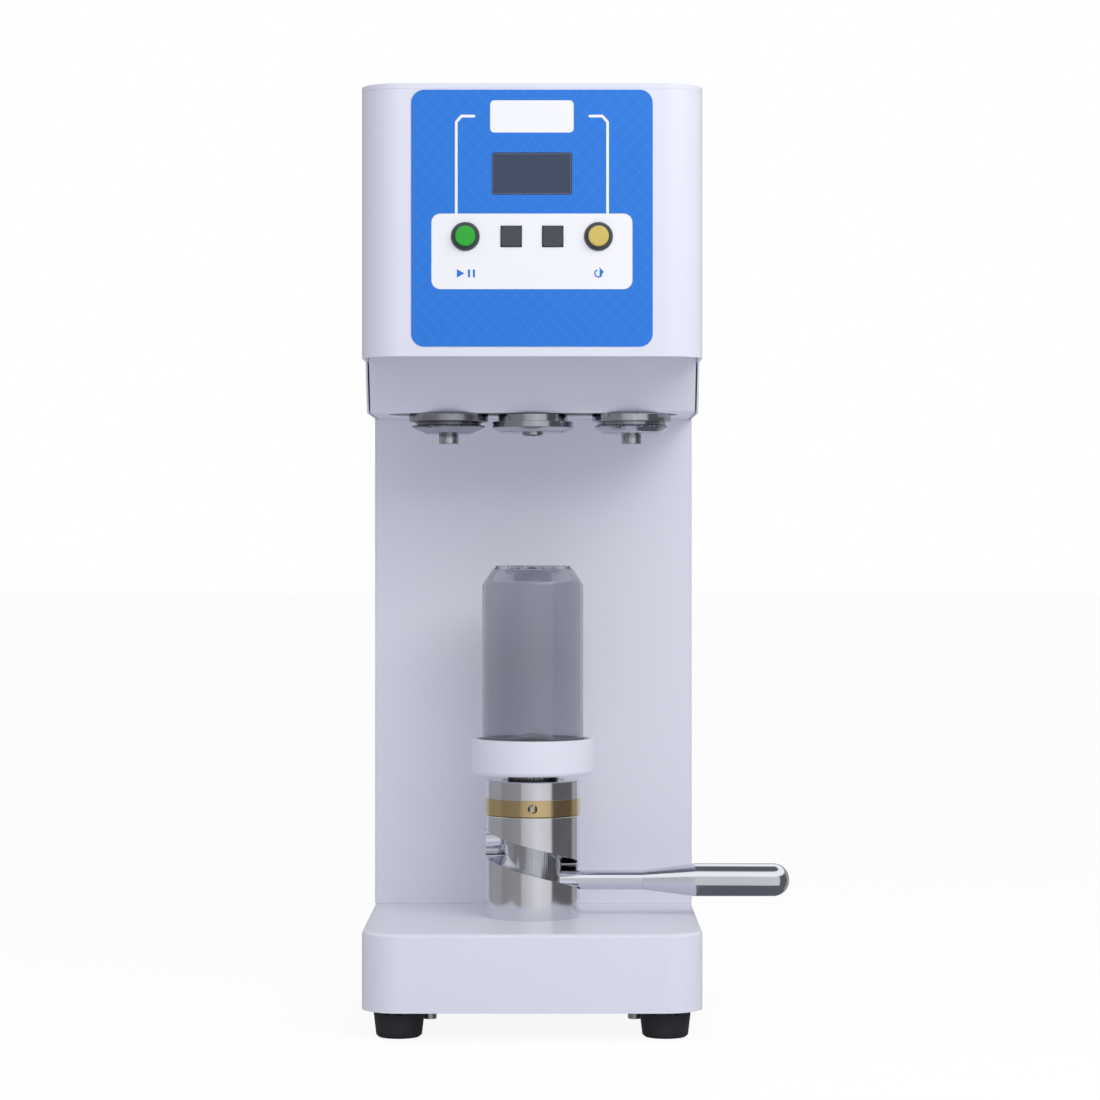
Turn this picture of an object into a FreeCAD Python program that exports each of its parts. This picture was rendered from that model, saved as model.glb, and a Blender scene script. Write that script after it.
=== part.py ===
"""Bench-top can seamer with a lever-raised can holder and two seaming rollers.

The machine stands with +X to its right, +Y to its back and +Z up.  Every sub-part is drawn
about the seaming axis, which is the line that the can, the chuck and the lift barrel share,
and is then set into the model's own frame, whose origin is on the floor below the middle of
the whole machine.  Lengths are in millimetres and angles in degrees.
"""

import FreeCAD, Part
import math
import os
import Sketcher

SIZES = {
    # Place of the seaming axis in the model's frame
    "seam_axis_x": -29.5,
    "seam_axis_y": -31.9,
    # Body of the machine
    "body_width": 210.0,
    "front_reach": 98.0,
    "rear_reach": 162.0,
    "column_setback": 73.0,
    "base_height": 48.3,
    "throat_height": 321.0,
    "chin_rise": 31.2,
    "head_cover_height": 163.2,
    "top_cover_thickness": 3.3,
    "shell_wall": 2.0,
    "panel_wall": 1.2,
    "rear_wall": 1.5,
    "base_corner": 24.0,
    "base_edge_round": 2.4,
    "head_corner": 24.7,
    "panel_gap": 1.0,
    "seat_gap": 0.3,
    # Feet and base
    "foot_height": 17.0,
    "foot_top_radius": 16.0,
    "foot_bottom_radius": 14.0,
    "foot_edge_bevel": 1.4,
    "foot_inset": 23.0,
    "foot_recess_radius": 5.0,
    "foot_recess_depth": 9.0,
    "base_plate_thickness": 3.0,
    "base_screw_radius": 4.3,
    "base_screw_head": 8.0,
    "base_screw_inset_x": 41.4,
    "base_screw_inset_y": 36.0,
    # Frame and throat
    "frame_plate_thickness": 4.0,
    "throat_tray_wall": 1.5,
    "chin_reach_bottom": 20.0,
    "chin_reach_top": 39.0,
    "chin_bend_round": 3.6,
    "plate_recess": 6.5,
    "mechanism_plate_thickness": 6.0,
    "throat_slot_end_margin": 10.3,
    "throat_slot_front": 15.0,
    "throat_slot_back": 30.0,
    # Lift barrel and its helical slot
    "barrel_radius": 30.3,
    "barrel_bore_radius": 18.3,
    "barrel_height": 65.3,
    "barrel_edge": 0.6,
    "slot_width": 17.0,
    "slot_height": 24.4,
    "slot_lead": 48.6,
    "slot_start_angle": 4.5,
    "slot_sweep": 174.5,
    "slot_overcut": 5.0,
    "barrel_bolt_radius": 3.0,
    "barrel_bolt_head_radius": 5.0,
    "barrel_bolt_head": 6.0,
    "barrel_bolt_circle": 24.3,
    "barrel_bolt_grip": 12.0,
    "barrel_bolt_turn": 90.0,
    # Plunger, rings and can holder
    "running_gap": 0.06,
    "plunger_floor_gap": 3.0,
    "plunger_neck_radius": 12.0,
    "lever_height": 23.2,
    "lock_ring_height": 10.3,
    "set_screw_radius": 3.0,
    "set_screw_depth": 3.2,
    "collar_height": 11.6,
    "collar_edge": 0.5,
    "bearing_radius": 19.7,
    "bearing_thickness": 3.8,
    "neck_radius": 16.0,
    "neck_height": 3.6,
    "turntable_shaft_radius": 8.0,
    "turntable_shaft_length": 34.0,
    "holder_radius": 39.0,
    "holder_cup_radius": 34.2,
    "holder_height": 22.6,
    "holder_floor": 13.5,
    "holder_bottom_round": 3.0,
    "holder_rim_bevel": 1.1,
    # Can
    "can_radius": 32.4,
    "can_wall": 0.7,
    "can_body_height": 107.0,
    "can_shoulder_height": 12.6,
    "can_neck_radius": 25.9,
    "can_bead_radius": 23.3,
    "can_bead_height": 1.4,
    "can_bead_section": 0.8,
    "can_dome_radius": 22.0,
    "can_dome_height": 12.0,
    # Lever
    "lever_rod_radius": 6.15,
    "lever_rod_reach": 70.4,
    "lever_stud_radius": 4.0,
    "lever_stud_length": 30.0,
    "lever_cone_reach": 104.0,
    "lever_grip_radius": 10.45,
    "lever_reach": 164.0,
    # Chuck, spindle and drive
    "chuck_clearance": 11.7,
    "chuck_lip_radius": 20.3,
    "chuck_flange_radius": 26.1,
    "chuck_taper_height": 1.6,
    "chuck_flange_height": 5.1,
    "chuck_hub_radius": 22.4,
    "chuck_hub_height": 4.6,
    "chuck_neck_radius": 12.5,
    "chuck_neck_height": 9.0,
    "chuck_bolt_radius": 7.0,
    "chuck_bolt_head": 3.6,
    "chuck_recess": 1.2,
    "spindle_stub_length": 12.0,
    "spindle_radius": 10.0,
    "spindle_nut_height": 6.0,
    "spindle_housing_radius": 24.0,
    "spindle_flange_radius": 33.0,
    "spindle_flange_height": 5.0,
    "spindle_housing_depth": 26.0,
    "bearing_race_radius": 17.5,
    "bearing_width": 10.0,
    "pulley_lift": 4.0,
    "pulley_width": 14.0,
    "pulley_flange": 1.6,
    "pulley_flange_lip": 2.5,
    "spindle_pulley_radius": 30.0,
    "motor_pulley_radius": 24.0,
    "belt_thickness": 2.5,
    "belt_gap": 0.3,
    "motor_setback": 124.0,
    "motor_width": 66.0,
    "motor_length": 120.0,
    "motor_corner": 7.0,
    "motor_shaft_radius": 6.0,
    "motor_shaft_depth": 20.0,
    "motor_cap_height": 14.0,
    "motor_cap_step": 1.5,
    # Seaming arms, rollers and cam
    "arm_pivot_spread": 62.0,
    "arm_pivot_setback": 44.0,
    "arm_length": 44.0,
    "arm_thickness": 10.0,
    "arm_pivot_boss": 14.0,
    "arm_roller_boss": 12.0,
    "arm_tail_boss": 8.0,
    "arm_web_width": 15.0,
    "arm_tail_x": 31.6,
    "arm_tail_y": 16.4,
    "arm_lift": 6.0,
    "first_arm_angle": 10.74,
    "second_arm_angle": 1.43,
    "pivot_radius": 8.0,
    "pivot_head_radius": 11.0,
    "pivot_head_height": 2.5,
    "axle_radius": 5.0,
    "axle_pin_radius": 6.45,
    "axle_pin_length": 6.7,
    "roller_top_radius": 25.3,
    "roller_top_height": 5.0,
    "roller_hub_radius": 14.0,
    "roller_height": 12.4,
    "roller_cone_radius": 23.4,
    "first_roller_foot_radius": 14.5,
    "second_roller_foot_radius": 18.0,
    "first_groove_radius": 20.6,
    "second_groove_radius": 22.0,
    "follower_radius": 7.0,
    "follower_pin_radius": 3.5,
    "cam_setback": 62.0,
    "cam_thickness": 8.0,
    "cam_gap": 0.35,
    "cam_hub_radius": 10.0,
    "cam_shaft_radius": 5.0,
    "cam_to_arm_angle_ratio": 9.83,
    "cam_forward_turn": 147.0,
    "cam_backward_turn": 22.0,
    "cam_motor_radius": 18.5,
    "cam_motor_height": 52.0,
    # Control panel
    "overlay_thickness": 0.4,
    "overlay_half_width": 73.6,
    "overlay_bottom": 5.9,
    "overlay_top": 162.4,
    "overlay_corner": 8.0,
    "window_width": 48.8,
    "window_height": 25.7,
    "window_rise": 111.3,
    "window_corner": 1.5,
    "window_thickness": 1.2,
    "window_recess": 0.5,
    "display_thickness": 5.0,
    "button_spread": 40.55,
    "button_rise": 73.0,
    "button_radius": 6.3,
    "button_proud": 4.8,
    "button_travel": 1.6,
    "button_edge_bevel": 0.7,
    "bezel_radius": 8.75,
    "bezel_proud": 1.6,
    "bezel_barrel_radius": 7.4,
    "button_gap": 0.35,
    "key_spread": 12.65,
    "key_width": 12.4,
    "key_corner": 2.0,
    "key_proud": 1.0,
    "board_side_margin": 24.45,
    "board_height": 70.0,
    "board_thickness": 1.6,
    "board_setback": 8.0,
    "post_radius": 3.0,
    "post_inset": 6.0,
    "switch_width": 8.0,
    # Rear
    "rear_screw_inset": 9.0,
    "rear_screw_radius": 4.0,
    "rear_screw_head": 1.8,
    "vent_width": 60.0,
    "vent_height": 4.0,
    "vent_pitch": 10.0,
    "vent_rise": 120.0,
    "inlet_rise": 38.0,
    "inlet_width": 48.0,
    "inlet_height": 50.0,
    "inlet_flange": 2.5,
    "inlet_depth": 26.0,
    "inlet_socket_width": 24.5,
    "inlet_socket_height": 16.5,
    "inlet_socket_depth": 17.0,
    "rocker_width": 19.0,
    "rocker_height": 13.0,
    "rocker_tilt": 8.0,
}

VENT_COUNT = 6
BARREL_BOLTS = 3

doc = FreeCAD.newDocument("can_seamer")
sheet = doc.addObject("Spreadsheet::Sheet", "Sizes")


class Size:
    """A value that knows both its number and its formula in the sheet."""

    def __init__(self, number, formula):
        self.number = float(number)
        self.formula = formula

    def __add__(self, other):
        other = size(other)
        return Size(self.number + other.number, f"({self.formula} + {other.formula})")

    def __sub__(self, other):
        other = size(other)
        return Size(self.number - other.number, f"({self.formula} - {other.formula})")

    def __mul__(self, other):
        other = size(other)
        return Size(self.number * other.number, f"({self.formula} * {other.formula})")

    def __truediv__(self, other):
        other = size(other)
        return Size(self.number / other.number, f"({self.formula} / {other.formula})")

    def __radd__(self, other):
        return size(other) + self

    def __rsub__(self, other):
        return size(other) - self

    def __rmul__(self, other):
        return size(other) * self

    def __neg__(self):
        return Size(-self.number, f"(0 - {self.formula})")


def size(value):
    """Any number or Size as a Size."""
    return value if isinstance(value, Size) else Size(value, f"({value})")


def sine(angle):
    return Size(math.sin(math.radians(angle.number)), f"sin({angle.formula})")


def cosine(angle):
    return Size(math.cos(math.radians(angle.number)), f"cos({angle.formula})")


def root(value):
    return Size(math.sqrt(value.number), f"sqrt({value.formula})")


def fill_sheet():
    """Writes every driving size into a row of its own, under its name."""
    named = {}
    for row, (name, number) in enumerate(SIZES.items(), start=1):
        sheet.set(f"A{row}", name)
        sheet.set(f"B{row}", str(number))
        sheet.setAlias(f"B{row}", name)
        named[name] = Size(number, f"Sizes.{name}")
    doc.recompute()
    return named


s = fill_sheet()


# ---- drawing helpers ----------------------------------------------------------------------

def bind(thing, prop, value):
    thing.setExpression(prop, size(value).formula)


def place(thing, x=0, y=0, z=0, turn=None, about=(0, 0, 1)):
    """Puts a sub-part at x, y from the seaming axis and z above the floor."""
    if turn is not None:
        thing.Placement.Rotation = FreeCAD.Rotation(FreeCAD.Vector(*about), 1)
        bind(thing, "Placement.Rotation.Angle", turn)
    bind(thing, "Placement.Base.x", s["seam_axis_x"] + x)
    bind(thing, "Placement.Base.y", s["seam_axis_y"] + y)
    bind(thing, "Placement.Base.z", z)
    return thing


def new_body(label):
    return doc.addObject("PartDesign::Body", label)


class Drawing:
    """A sketch on an origin plane of a body, with every corner tied to the sheet."""

    def __init__(self, body, plane="XY"):
        self.body = body
        self.sketch = body.newObject("Sketcher::SketchObject", "outline")
        roles = {f.Role: f for f in body.Origin.OriginFeatures}
        self.sketch.AttachmentSupport = [(roles[f"{plane}_Plane"], "")]
        self.sketch.MapMode = "FlatFace"

    def tie(self, kind, value, *where):
        value = size(value)
        index = self.sketch.addConstraint(Sketcher.Constraint(kind, *where, value.number))
        self.sketch.setExpression(f"Constraints[{index}]", value.formula)

    def tie_point(self, geometry, end, x, y):
        self.tie("DistanceX", x, -1, 1, geometry, end)
        self.tie("DistanceY", y, -1, 1, geometry, end)

    def polygon(self, corners):
        first = self.sketch.GeometryCount
        spots = [FreeCAD.Vector(size(x).number, size(y).number, 0) for x, y in corners]
        for start, end in zip(spots, spots[1:] + spots[:1]):
            self.sketch.addGeometry(Part.LineSegment(start, end))
        for step, (x, y) in enumerate(corners):
            following = (step + 1) % len(corners)
            joined = Sketcher.Constraint("Coincident", first + step, 2, first + following, 1)
            self.sketch.addConstraint(joined)
            self.tie_point(first + step, 1, x, y)
        return self

    def rectangle(self, x_low, x_high, y_low, y_high):
        return self.polygon([(x_low, y_low), (x_high, y_low), (x_high, y_high), (x_low, y_high)])

    def circle(self, x, y, radius):
        centre = FreeCAD.Vector(size(x).number, size(y).number, 0)
        up = FreeCAD.Vector(0, 0, 1)
        index = self.sketch.addGeometry(Part.Circle(centre, up, size(radius).number))
        self.tie_point(index, 3, x, y)
        self.tie("Radius", radius, index)
        return self

    def _finish(self, kind, length, against, midplane):
        feature = self.body.newObject(f"PartDesign::{kind}", kind.lower())
        feature.Profile = self.sketch
        if length is None:
            feature.Type = 1
        else:
            bind(feature, "Length", length)
        feature.Reversed = against
        feature.Midplane = midplane
        self.body.Tip = feature
        return feature

    def pad(self, length, against=False, midplane=False):
        return self._finish("Pad", length, against, midplane)

    def pocket(self, length=None, against=False, midplane=False):
        return self._finish("Pocket", length, against, midplane)

    def _turn(self, kind, axis):
        feature = self.body.newObject(f"PartDesign::{kind}", kind.lower())
        feature.Profile = self.sketch
        feature.ReferenceAxis = (self.sketch, [axis])
        feature.Angle = 360
        self.body.Tip = feature
        return feature

    def revolve(self, axis="V_Axis"):
        return self._turn("Revolution", axis)

    def groove(self, axis="V_Axis"):
        return self._turn("Groove", axis)


def turned(label, profile, axis="V_Axis"):
    """A lathe part: its half section, given as radius and height, spun about the axis."""
    body = new_body(label)
    Drawing(body, "XZ").polygon(profile).revolve(axis)
    return body


def round_edges(body, radius, wanted, kind="Fillet"):
    """Rounds or bevels the edges of the tip that the test picks."""
    doc.recompute()
    base = body.Tip
    edges = base.Shape.Edges
    names = [f"Edge{i}" for i, edge in enumerate(edges, start=1) if wanted(edge)]
    feature = body.newObject(f"PartDesign::{kind}", kind.lower())
    feature.Base = (base, names)
    bind(feature, "Radius" if kind == "Fillet" else "Size", radius)
    body.Tip = feature
    return feature


def near(value, target):
    return abs(value - size(target).number) < 1e-4


def upright_at(*spots):
    """Picks straight edges along Z that stand on the given x, y spots."""
    def wanted(edge):
        box = edge.BoundBox
        if box.XLength > 1e-4 or box.YLength > 1e-4 or box.ZLength < 1e-3:
            return False
        return any(near(box.XMin, x) and near(box.YMin, y) for x, y in spots)
    return wanted


def along(axis):
    """Picks every straight edge along one axis."""
    def wanted(edge):
        box = edge.BoundBox
        lengths = {"x": box.XLength, "y": box.YLength, "z": box.ZLength}
        own = lengths.pop(axis)
        return own > 1e-3 and max(lengths.values()) < 1e-4
    return wanted


def ring_at(z, radius):
    """Picks the round edge of one radius at one height."""
    def wanted(edge):
        box = edge.BoundBox
        flat = near(box.ZMin, z) and near(box.ZMax, z)
        return flat and near(box.XMax, radius) and near(box.XMin, -size(radius))
    return wanted


def group(label, source, spots):
    """Identical solids as one sub-part: the source's own solid at each x, y, z spot."""
    doc.recompute()
    solids = []
    for x, y, z in spots:
        copy = source.Shape.copy()
        offset = FreeCAD.Vector(size(x).number, size(y).number, size(z).number)
        copy.translate(offset)
        solids.append(copy)
    piece = doc.addObject("Part::Feature", label)
    piece.Shape = Part.makeCompound(solids)
    return piece


SUBPARTS = []


def keep(thing):
    SUBPARTS.append(thing)
    return thing


# ---- heights and reaches shared by several sub-parts ---------------------------------------

half_width = s["body_width"] / 2
front = -s["front_reach"]
rear = s["rear_reach"]
rear_inner = rear - s["rear_wall"]
column = s["column_setback"]
base_top = s["foot_height"] + s["base_height"]
base_floor = s["foot_height"] + s["base_plate_thickness"]
throat_top = base_top + s["throat_height"]
hood_bottom = throat_top + s["chin_rise"]
plate_bottom = hood_bottom + s["plate_recess"]
plate_top = plate_bottom + s["mechanism_plate_thickness"]
cover_top = hood_bottom + s["head_cover_height"]
panel_inner = half_width - s["panel_wall"]
column_inner = column + s["throat_tray_wall"]
barrel_top = base_top + s["barrel_height"]
ring_bottom = barrel_top + s["seat_gap"]
ring_top = ring_bottom + s["lock_ring_height"]
collar_top = ring_top + s["collar_height"]
neck_bottom = collar_top + 0.1
holder_bottom = neck_bottom + s["neck_height"]
can_bottom = holder_bottom + s["holder_floor"]
lever_z = base_top + s["lever_height"]
chuck_bottom = throat_top - s["chuck_clearance"]
arm_bottom = throat_top + s["arm_lift"]
inside_x = half_width - s["shell_wall"] - s["seat_gap"]
inside_front = front + s["shell_wall"] + s["seat_gap"]


# ---- feet and base -------------------------------------------------------------------------

def foot_spots():
    x = half_width - s["foot_inset"]
    y_front = front + s["foot_inset"]
    y_rear = rear - s["foot_inset"]
    return [(x, y_front), (-x, y_front), (x, y_rear), (-x, y_rear)]


def rubber_feet():
    foot = turned("foot", [
        (0, s["foot_recess_depth"]), (s["foot_recess_radius"], s["foot_recess_depth"]),
        (s["foot_recess_radius"], 0), (s["foot_bottom_radius"], 0),
        (s["foot_top_radius"], s["foot_height"]), (0, s["foot_height"]),
    ])
    round_edges(foot, s["foot_edge_bevel"], ring_at(0, s["foot_bottom_radius"]), "Chamfer")
    return group("rubber_feet", foot, [(x, y, 0) for x, y in foot_spots()])


def plate_outline(drawing, front_y, rear_y, half):
    return drawing.rectangle(-half, half, front_y, rear_y)


def base_plate():
    body = new_body("base_plate")
    rear_y = rear - s["shell_wall"] - s["seat_gap"]
    corner = s["base_corner"] - s["shell_wall"] - s["seat_gap"]
    plate_outline(Drawing(body), inside_front, rear_y, inside_x).pad(s["base_plate_thickness"])
    round_edges(body, corner, upright_at((inside_x, inside_front), (-inside_x, inside_front)))
    bolt_holes = Drawing(body)
    for x, y in barrel_bolt_spots():
        bolt_holes.circle(x, y, s["barrel_bolt_radius"])
    bolt_holes.pocket(against=True)
    return body


def base_cover():
    body = new_body("base_cover")
    wall = s["shell_wall"]
    x_inner, y_inner = half_width - wall, front + wall
    plate_outline(Drawing(body), front, rear, half_width).pad(s["base_height"])
    cavity = plate_outline(Drawing(body), y_inner, rear - wall, x_inner)
    cavity.pocket(s["base_height"] - wall, against=True)
    inner = s["base_corner"] - wall
    round_edges(body, inner, upright_at((x_inner, y_inner), (-x_inner, y_inner)))
    round_edges(body, s["base_corner"], upright_at((half_width, front), (-half_width, front)))

    def on_top(edge):
        return near(edge.BoundBox.ZMin, s["base_height"])
    round_edges(body, s["base_edge_round"], on_top)
    opening = Drawing(body)
    frame_outer = inside_x + s["seat_gap"] / 2
    opening.rectangle(-frame_outer, frame_outer, column_inner, rear - wall)
    opening.pocket(against=True)
    holes = Drawing(body)
    for x, y in barrel_bolt_spots():
        holes.circle(x, y, s["barrel_bolt_radius"])
    holes.pocket(against=True)
    return body


def base_screws():
    radius, height = s["base_screw_radius"], s["base_screw_head"]
    screw = turned("base_screw", [(0, -height), (radius, -height), (radius, 0), (0, 0)])
    x = half_width - s["base_screw_inset_x"]
    y_front, y_rear = front + s["base_screw_inset_y"], rear - s["base_screw_inset_y"]
    spots = [(x, y_front), (-x, y_front), (x, y_rear), (-x, y_rear)]
    return group("base_screws", screw, [(x, y, 0) for x, y in spots])


# ---- lift barrel and what moves in it ------------------------------------------------------

def barrel_bolt_spots(turned_back=0):
    """The bolt centres, for a sub-part whose own frame may be turned by an angle."""
    spots = []
    for step in range(BARREL_BOLTS):
        angle = s["barrel_bolt_turn"] + 360 * step / BARREL_BOLTS - turned_back
        radius = s["barrel_bolt_circle"]
        spots.append((radius * cosine(angle), radius * sine(angle)))
    return spots


def barrel_pedestal():
    """Steel block under the base cover that the barrel is bolted through."""
    body = new_body("barrel_pedestal")
    height = base_top - s["shell_wall"] - base_floor
    Drawing(body).circle(0, 0, s["barrel_radius"]).pad(height)
    holes = Drawing(body)
    for x, y in barrel_bolt_spots():
        holes.circle(x, y, s["barrel_bolt_radius"])
    holes.pocket(against=True)
    return body


def barrel_bolts():
    shank, head = s["barrel_bolt_radius"], s["barrel_bolt_head_radius"]
    top = base_top - s["foot_height"] + s["barrel_bolt_grip"]
    bolt = turned("barrel_bolt", [
        (0, -s["barrel_bolt_head"]), (head, -s["barrel_bolt_head"]), (head, 0), (shank, 0),
        (shank, top), (0, top),
    ])
    return group("barrel_bolts", bolt, [(x, y, 0) for x, y in barrel_bolt_spots()])


def lift_barrel():
    """Thick tube whose helical slot lifts the plunger as the lever swings round the front."""
    outer, bore, edge = s["barrel_radius"], s["barrel_bore_radius"], s["barrel_edge"]
    body = turned("lift_barrel", [
        (bore, 0), (outer, 0), (outer, s["barrel_height"] - edge),
        (outer - edge, s["barrel_height"]), (bore, s["barrel_height"]),
    ])
    holes = Drawing(body)
    for x, y in barrel_bolt_spots(s["slot_start_angle"]):
        holes.circle(x, y, s["barrel_bolt_radius"])
    holes.pocket(s["barrel_bolt_grip"], against=True)

    # The slot's cutter is round, so its height along the axis grows with the helix's slope.
    rise_per_round = s["slot_lead"] / (2 * math.pi * outer)
    slot_half = s["slot_width"] / 2 * root(1 + rise_per_round * rise_per_round)
    # The sweep starts at the upper, far end of the slot and runs down to the lever's rest.
    cutter = Drawing(body, "XZ")
    reach = outer + s["slot_overcut"]
    cutter.rectangle(bore - s["slot_overcut"], reach, s["slot_height"] - slot_half, s["slot_height"] + slot_half)
    sweep = body.newObject("PartDesign::SubtractiveHelix", "slot")
    sweep.Profile = cutter.sketch
    sweep.ReferenceAxis = (cutter.sketch, ["V_Axis"])
    sweep.Mode = 0
    bind(sweep, "Pitch", s["slot_lead"])
    bind(sweep, "Height", s["slot_lead"] * s["slot_sweep"] / 360)
    sweep.LeftHanded = True
    body.Tip = sweep
    for along_slot in (0, 1):
        turn = -(s["slot_sweep"] * along_slot)
        end = body.newObject("PartDesign::SubtractiveCylinder", "slot_end")
        bind(end, "Radius", s["slot_width"] / 2)
        bind(end, "Height", reach)
        facing = FreeCAD.Rotation(FreeCAD.Vector(0, 0, 1), turn.number)
        end.Placement.Rotation = facing.multiply(FreeCAD.Rotation(FreeCAD.Vector(0, 1, 0), 90))
        rise = s["slot_height"] + s["slot_lead"] * s["slot_sweep"] / 360 * along_slot
        bind(end, "Placement.Base.z", rise)
        body.Tip = end
    return body


def plunger():
    radius = s["barrel_bore_radius"] - s["running_gap"]
    bottom = base_top + s["plunger_floor_gap"]
    top = collar_top - s["bearing_thickness"] - 0.3 - bottom
    shoulder = ring_top - bottom
    bore = s["turntable_shaft_radius"] + s["running_gap"]
    bore_bottom = neck_bottom - s["turntable_shaft_length"] - 1 - bottom
    body = turned("plunger", [
        (0, 0), (radius, 0), (radius, shoulder), (s["plunger_neck_radius"], shoulder),
        (s["plunger_neck_radius"], top), (bore, top), (bore, bore_bottom), (0, bore_bottom),
    ])
    hole = Drawing(body, "YZ")
    hole.circle(0, lever_z - bottom, s["lever_rod_radius"])
    hole.pocket(radius + 1, against=True)
    return body


def lock_ring():
    bore = s["barrel_bore_radius"] - s["running_gap"]
    body = turned("lock_ring", [
        (bore, 0), (s["barrel_radius"], 0), (s["barrel_radius"], s["lock_ring_height"]),
        (bore, s["lock_ring_height"]),
    ])
    hole = Drawing(body, "XZ")
    hole.circle(0, s["lock_ring_height"] / 2, s["set_screw_radius"])
    hole.pocket(s["barrel_radius"] + 1, against=True)
    return body


def ring_set_screw():
    """Grub screw sunk in the ring's hole, its end on the plunger."""
    body = new_body("ring_set_screw")
    start = s["barrel_bore_radius"] - s["running_gap"]
    length = s["barrel_radius"] - start - s["set_screw_depth"]
    Drawing(body, "XZ").circle(0, 0, s["set_screw_radius"] - 0.02).pad(length)
    return place(body, 0, -start, ring_bottom + s["lock_ring_height"] / 2)


def lift_collar():
    outer, edge = s["barrel_radius"], s["collar_edge"]
    recess = s["bearing_radius"] + s["seat_gap"]
    recess_floor = s["collar_height"] - s["bearing_thickness"] - 0.3
    neck = s["plunger_neck_radius"]
    top = s["collar_height"]
    return turned("lift_collar", [
        (neck, 0), (outer, 0), (outer, top - edge), (outer - edge, top), (recess, top),
        (recess, recess_floor), (neck, recess_floor),
    ])


def thrust_bearing():
    """Two washers with a ball track between them, as one ring."""
    inner = s["turntable_shaft_radius"] + 0.5
    outer, height = s["bearing_radius"], s["bearing_thickness"]
    groove = height / 4
    return turned("thrust_bearing", [
        (inner, 0), (outer, 0), (outer, height / 2 - groove / 2),
        (outer - groove, height / 2 - groove / 2), (outer - groove, height / 2 + groove / 2),
        (outer, height / 2 + groove / 2), (outer, height), (inner, height),
    ])


def turntable_shaft():
    shaft = s["turntable_shaft_radius"]
    return turned("turntable_shaft", [
        (0, -s["turntable_shaft_length"]), (shaft, -s["turntable_shaft_length"]), (shaft, 0),
        (s["neck_radius"], 0), (s["neck_radius"], s["neck_height"]), (0, s["neck_height"]),
    ])


def can_holder():
    outer, cup, height = s["holder_radius"], s["holder_cup_radius"], s["holder_height"]
    body = turned("can_holder", [
        (0, 0), (outer, 0), (outer, height), (cup, height), (cup, s["holder_floor"]),
        (0, s["holder_floor"]),
    ])
    round_edges(body, s["holder_bottom_round"], ring_at(0, outer))
    round_edges(body, s["holder_rim_bevel"], ring_at(height, outer), "Chamfer")
    return body


def can():
    """Open can with a domed bottom, a straight wall, a sloped shoulder and a rolled bead."""
    wall, radius = s["can_wall"], s["can_radius"]
    dome, rise = s["can_dome_radius"], s["can_dome_height"]
    foot = dome + 3
    body_top = s["can_body_height"]
    neck_z = body_top + s["can_shoulder_height"] - s["can_bead_height"]
    top = neck_z + s["can_bead_height"]
    neck, bead = s["can_neck_radius"], s["can_bead_radius"]
    return turned("can", [
        (0, rise), (dome * 0.5, rise * 0.86), (dome * 0.85, rise * 0.5), (dome, 0),
        (foot, 0), (radius - 1, foot / 4), (radius, foot / 3),
        (radius, body_top), (neck, neck_z - 1), (bead + s["can_bead_section"], neck_z),
        (bead + s["can_bead_section"], top), (bead - wall, top), (bead - wall, neck_z),
        (neck - wall, neck_z - 1 - wall), (radius - wall, body_top - wall / 2),
        (radius - wall, foot / 3), (radius - 1 - wall, foot / 4 + wall / 2),
        (foot - wall / 2, wall), (dome + wall, wall), (dome * 0.85 + wall, rise * 0.5 + wall),
        (dome * 0.5, rise * 0.86 + wall), (0, rise + wall),
    ])


# ---- lever ----------------------------------------------------------------------------------

def lever_rod():
    """Bar screwed across the plunger, with a stud for the grip at its outer end."""
    radius, reach = s["lever_rod_radius"], s["lever_rod_reach"]
    stud, tip = s["lever_stud_radius"], s["lever_rod_reach"] + s["lever_stud_length"]
    return turned("lever_rod", [
        (0, 0), (tip, 0), (tip, stud), (reach, stud), (reach, radius), (0, radius),
    ], "H_Axis")


def lever_grip():
    """Handle that swells from the bar to a round-ended grip."""
    rod, grip = s["lever_rod_radius"], s["lever_grip_radius"]
    stud = s["lever_stud_radius"]
    start, cone = s["lever_rod_reach"], s["lever_cone_reach"]
    end, depth = s["lever_reach"], s["lever_rod_reach"] + s["lever_stud_length"]
    body = turned("lever_grip", [
        (start, stud), (depth, stud), (depth, 0), (end, 0), (end, grip), (cone, grip),
        (start, rod),
    ], "H_Axis")

    def end_ring(edge):
        box = edge.BoundBox
        return near(box.XMin, end) and near(box.XMax, end) and near(box.ZMax, grip)
    round_edges(body, grip - 0.3, end_ring)
    return body


# ---- column, throat and head ------------------------------------------------------------------

def column_front():
    body = new_body("column_front")
    height = s["throat_height"]
    Drawing(body).rectangle(-panel_inner, panel_inner, column, column_inner).pad(height)
    return body


def side_panel(label, side):
    """Inverted L that closes one side of the column and of the head below its cover."""
    body = new_body(label)
    top = s["throat_height"] + s["chin_rise"] - s["seat_gap"]
    share = (top - s["throat_height"]) / (plate_bottom - throat_top)
    chin_y = -s["chin_reach_bottom"] - (s["chin_reach_top"] - s["chin_reach_bottom"]) * share
    outline = Drawing(body, "YZ")
    outline.polygon([
        (column, 0), (rear_inner, 0), (rear_inner, top), (chin_y, top),
        (-s["chin_reach_bottom"], s["throat_height"]), (column, s["throat_height"]),
    ])
    outline.pad(s["panel_wall"])
    x = panel_inner if side > 0 else -half_width
    return place(body, x, 0, base_top)


def frame_plates():
    """Two steel plates inside the column that carry the mechanism plate."""
    plate = new_body("frame_plate")
    thickness = s["frame_plate_thickness"]
    back = rear - s["shell_wall"] - s["seat_gap"]
    Drawing(plate).rectangle(0, thickness, column_inner, back).pad(plate_bottom - base_floor)
    return group("frame_plates", plate, [(inside_x - thickness, 0, 0), (-inside_x, 0, 0)])


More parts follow.
